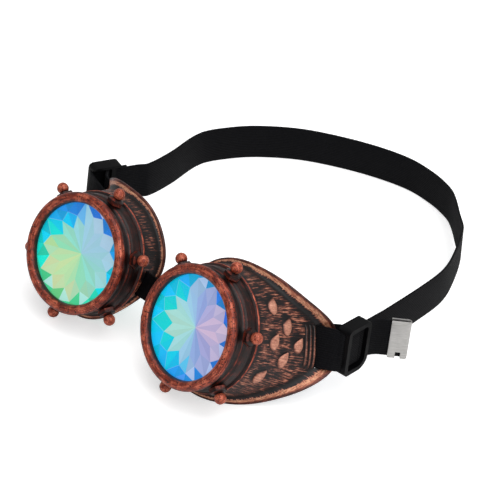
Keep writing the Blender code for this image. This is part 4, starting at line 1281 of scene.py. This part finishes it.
def makeClip():
    c = clipSheet
    inside = strap["thickness"] / 2 + c["gap"]
    outside, fold = inside + c["sheet"], c["length"]
    half = strap["width"] / 2 + c["over"]
    arc = [math.pi * k / c["arcSteps"] for k in range(c["arcSteps"] + 1)]
    outline = [(0, inside), (0, outside)]
    outline += [(fold - outside + outside * math.sin(t), outside * math.cos(t)) for t in arc]
    outline += [(0, -outside), (0, -inside)]
    outline += [(fold - outside + inside * math.sin(t), -inside * math.cos(t)) for t in arc]
    crease, slope = half - c["crease"], c["creaseHalf"]
    rises = (-half, -half + c["firstRow"], crease - slope, crease, crease + slope, half)
    sections = [[(out, along, rise) for along, out in outline] for rise in rises]
    # a shallow crease runs along the top edge, where the sheet was folded over
    sections[3] = [(out * c["creaseShare"] if abs(out) > inside + 0.2 else out, along, rise)
                   for out, along, rise in sections[3]]
    made = toObject("left_clip", skin(sections), [finishes["clip"]])
    first, last = (fold * share for share in c["notch"])
    notch = boxTool((inside - 0.2, first, -half - 1), (outside + 0.5, last, -half + c["notchTop"]))
    cut(made, notch)
    bevel(made, c["edge"], 2, 50)
    applyAll(made)
    discard(notch)
    settle(made, glideFrame(1) @ tailEnd(), 40)
    mount(made, "left_glide", ["left_end_clip"])


makeStrap()
makeEnds()
makeClip()
print("webbing and clip are built")


def roundedOutline(length, height, corners, steps):
    # rounded rectangle with a radius for each corner, the low front one first
    points = []
    for index, ((side, rise), radius) in enumerate(
            zip(((-1, -1), (1, -1), (1, 1), (-1, 1)), corners)):
        for step in range(steps + 1):
            t = math.pi + math.pi / 2 * (index + step / steps)
            points.append((side * (length / 2 - radius) + radius * math.cos(t),
                           rise * (height / 2 - radius) + radius * math.sin(t)))
    return points


def plateOf(outline, low, high):
    return skin([[(out, u, v) for u, v in outline] for out in (low, high)])


def makeSlide(side, hand):
    # a framed plate outside the webbing; its centre bar lies behind the webbing on two stems
    s = slide
    face = layersHalf + s["gap"]
    front, back, rooted = face + s["plate"], -face - s["barThickness"], face + s["plate"] / 2
    corner, length = s["corner"], s["length"]
    outline = roundedOutline(length, s["height"], (corner, s["lowCorner"], corner, corner), 12)
    made = toObject(side + "_slide", plateOf(outline, face, front), [finishes["slide"]])
    long, tall = length - 2 * s["bar"], s["height"] - 2 * s["bar"]
    small, inner = corner / 2, s["lowCorner"] - s["bar"]
    window = toObject("tool", plateOf(roundedOutline(
        long, tall, (small, inner, small, small), 10), face - 1, front + 1), [])
    first, last = (s["shift"] + way * s["centreBar"] / 2 for way in (-1, 1))
    inside, outside, middle = tall / 2, tall / 2 + s["stem"], (tall + s["stem"]) / 2
    tools = [boxTool((back, first, -outside), (rooted, last, -inside)),
             boxTool((back, first, inside), (rooted, last, outside)),
             boxTool((back, first, -middle), (-face, last, middle))]
    # low rails beside and behind the webbing give the frame its depth
    rails = toObject("tool", plateOf(outline, back, rooted), [])
    behind = boxTool((back - 1, -length, -s["roomBehind"]), (-face, length, s["roomBehind"]))
    passage = boxTool((-face - 1, -length, -s["room"]), (face, length, s["room"]))
    for tool in (behind, passage, window):
        cut(rails, tool)
    applyAll(rails)
    tools.append(rails)
    cut(made, window)
    for tool in tools:
        cut(made, tool, "UNION")
    bevel(made, s["edge"], 3, 35)
    applyAll(made)
    discard(window, passage, behind, *tools)
    if hand < 0:
        flipHand(made.data)
    settle(made, glideFrame(hand), 45)
    mount(made, side + "_glide", [side + "_tri_glide"])


bridge = {"beadRadius": 1.8, "beadInset": 6.1, "edge": 0.35, "beadSteps": 16, "runSteps": 24,
          "draw": 0.8}


def makeBridge():
    seatSide, place = bridgeFrame()
    beadSide = seatSide + bridge["beadInset"]
    half, radius = cup["bridgeThickness"] / 2, bridge["beadRadius"]
    openTurn = math.asin(half / radius)
    outline = []
    for hand in (1, -1):
        for step in range(bridge["beadSteps"] + 1):
            t = openTurn + (math.tau - 2 * openTurn) * step / bridge["beadSteps"]
            outline.append(((beadSide - radius * math.cos(t)) * hand,
                            radius * math.sin(t) * hand))
        neck, runSteps = beadSide - math.sqrt(radius ** 2 - half ** 2), bridge["runSteps"]
        outline += [((neck - 2 * neck * k / runSteps) * hand, -half * hand)
                    for k in range(1, runSteps)]
    tall, edge = cup["bridgeHeight"] / 2, bridge["edge"]
    sections = []
    for inset, shrink in ((0, edge), (edge * 0.3, edge * 0.3), (edge, 0)):
        # the section draws in towards both edges of the strip
        draw = 1 - shrink / half * bridge["draw"]
        sections.append([(x, y * draw, inset - tall) for x, y in outline])
    sections += [[(x, y, -rise) for x, y, rise in section] for section in sections[::-1]]
    made = toObject("bridge", skin(sections), [finishes["rubber"]])
    settle(made, place, 40)
    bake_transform(made)
    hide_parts("nose_bridge")


for side, hand in sideHands.items():
    makeSlide(side, hand)
makeBridge()
print("slides and bridge are built")
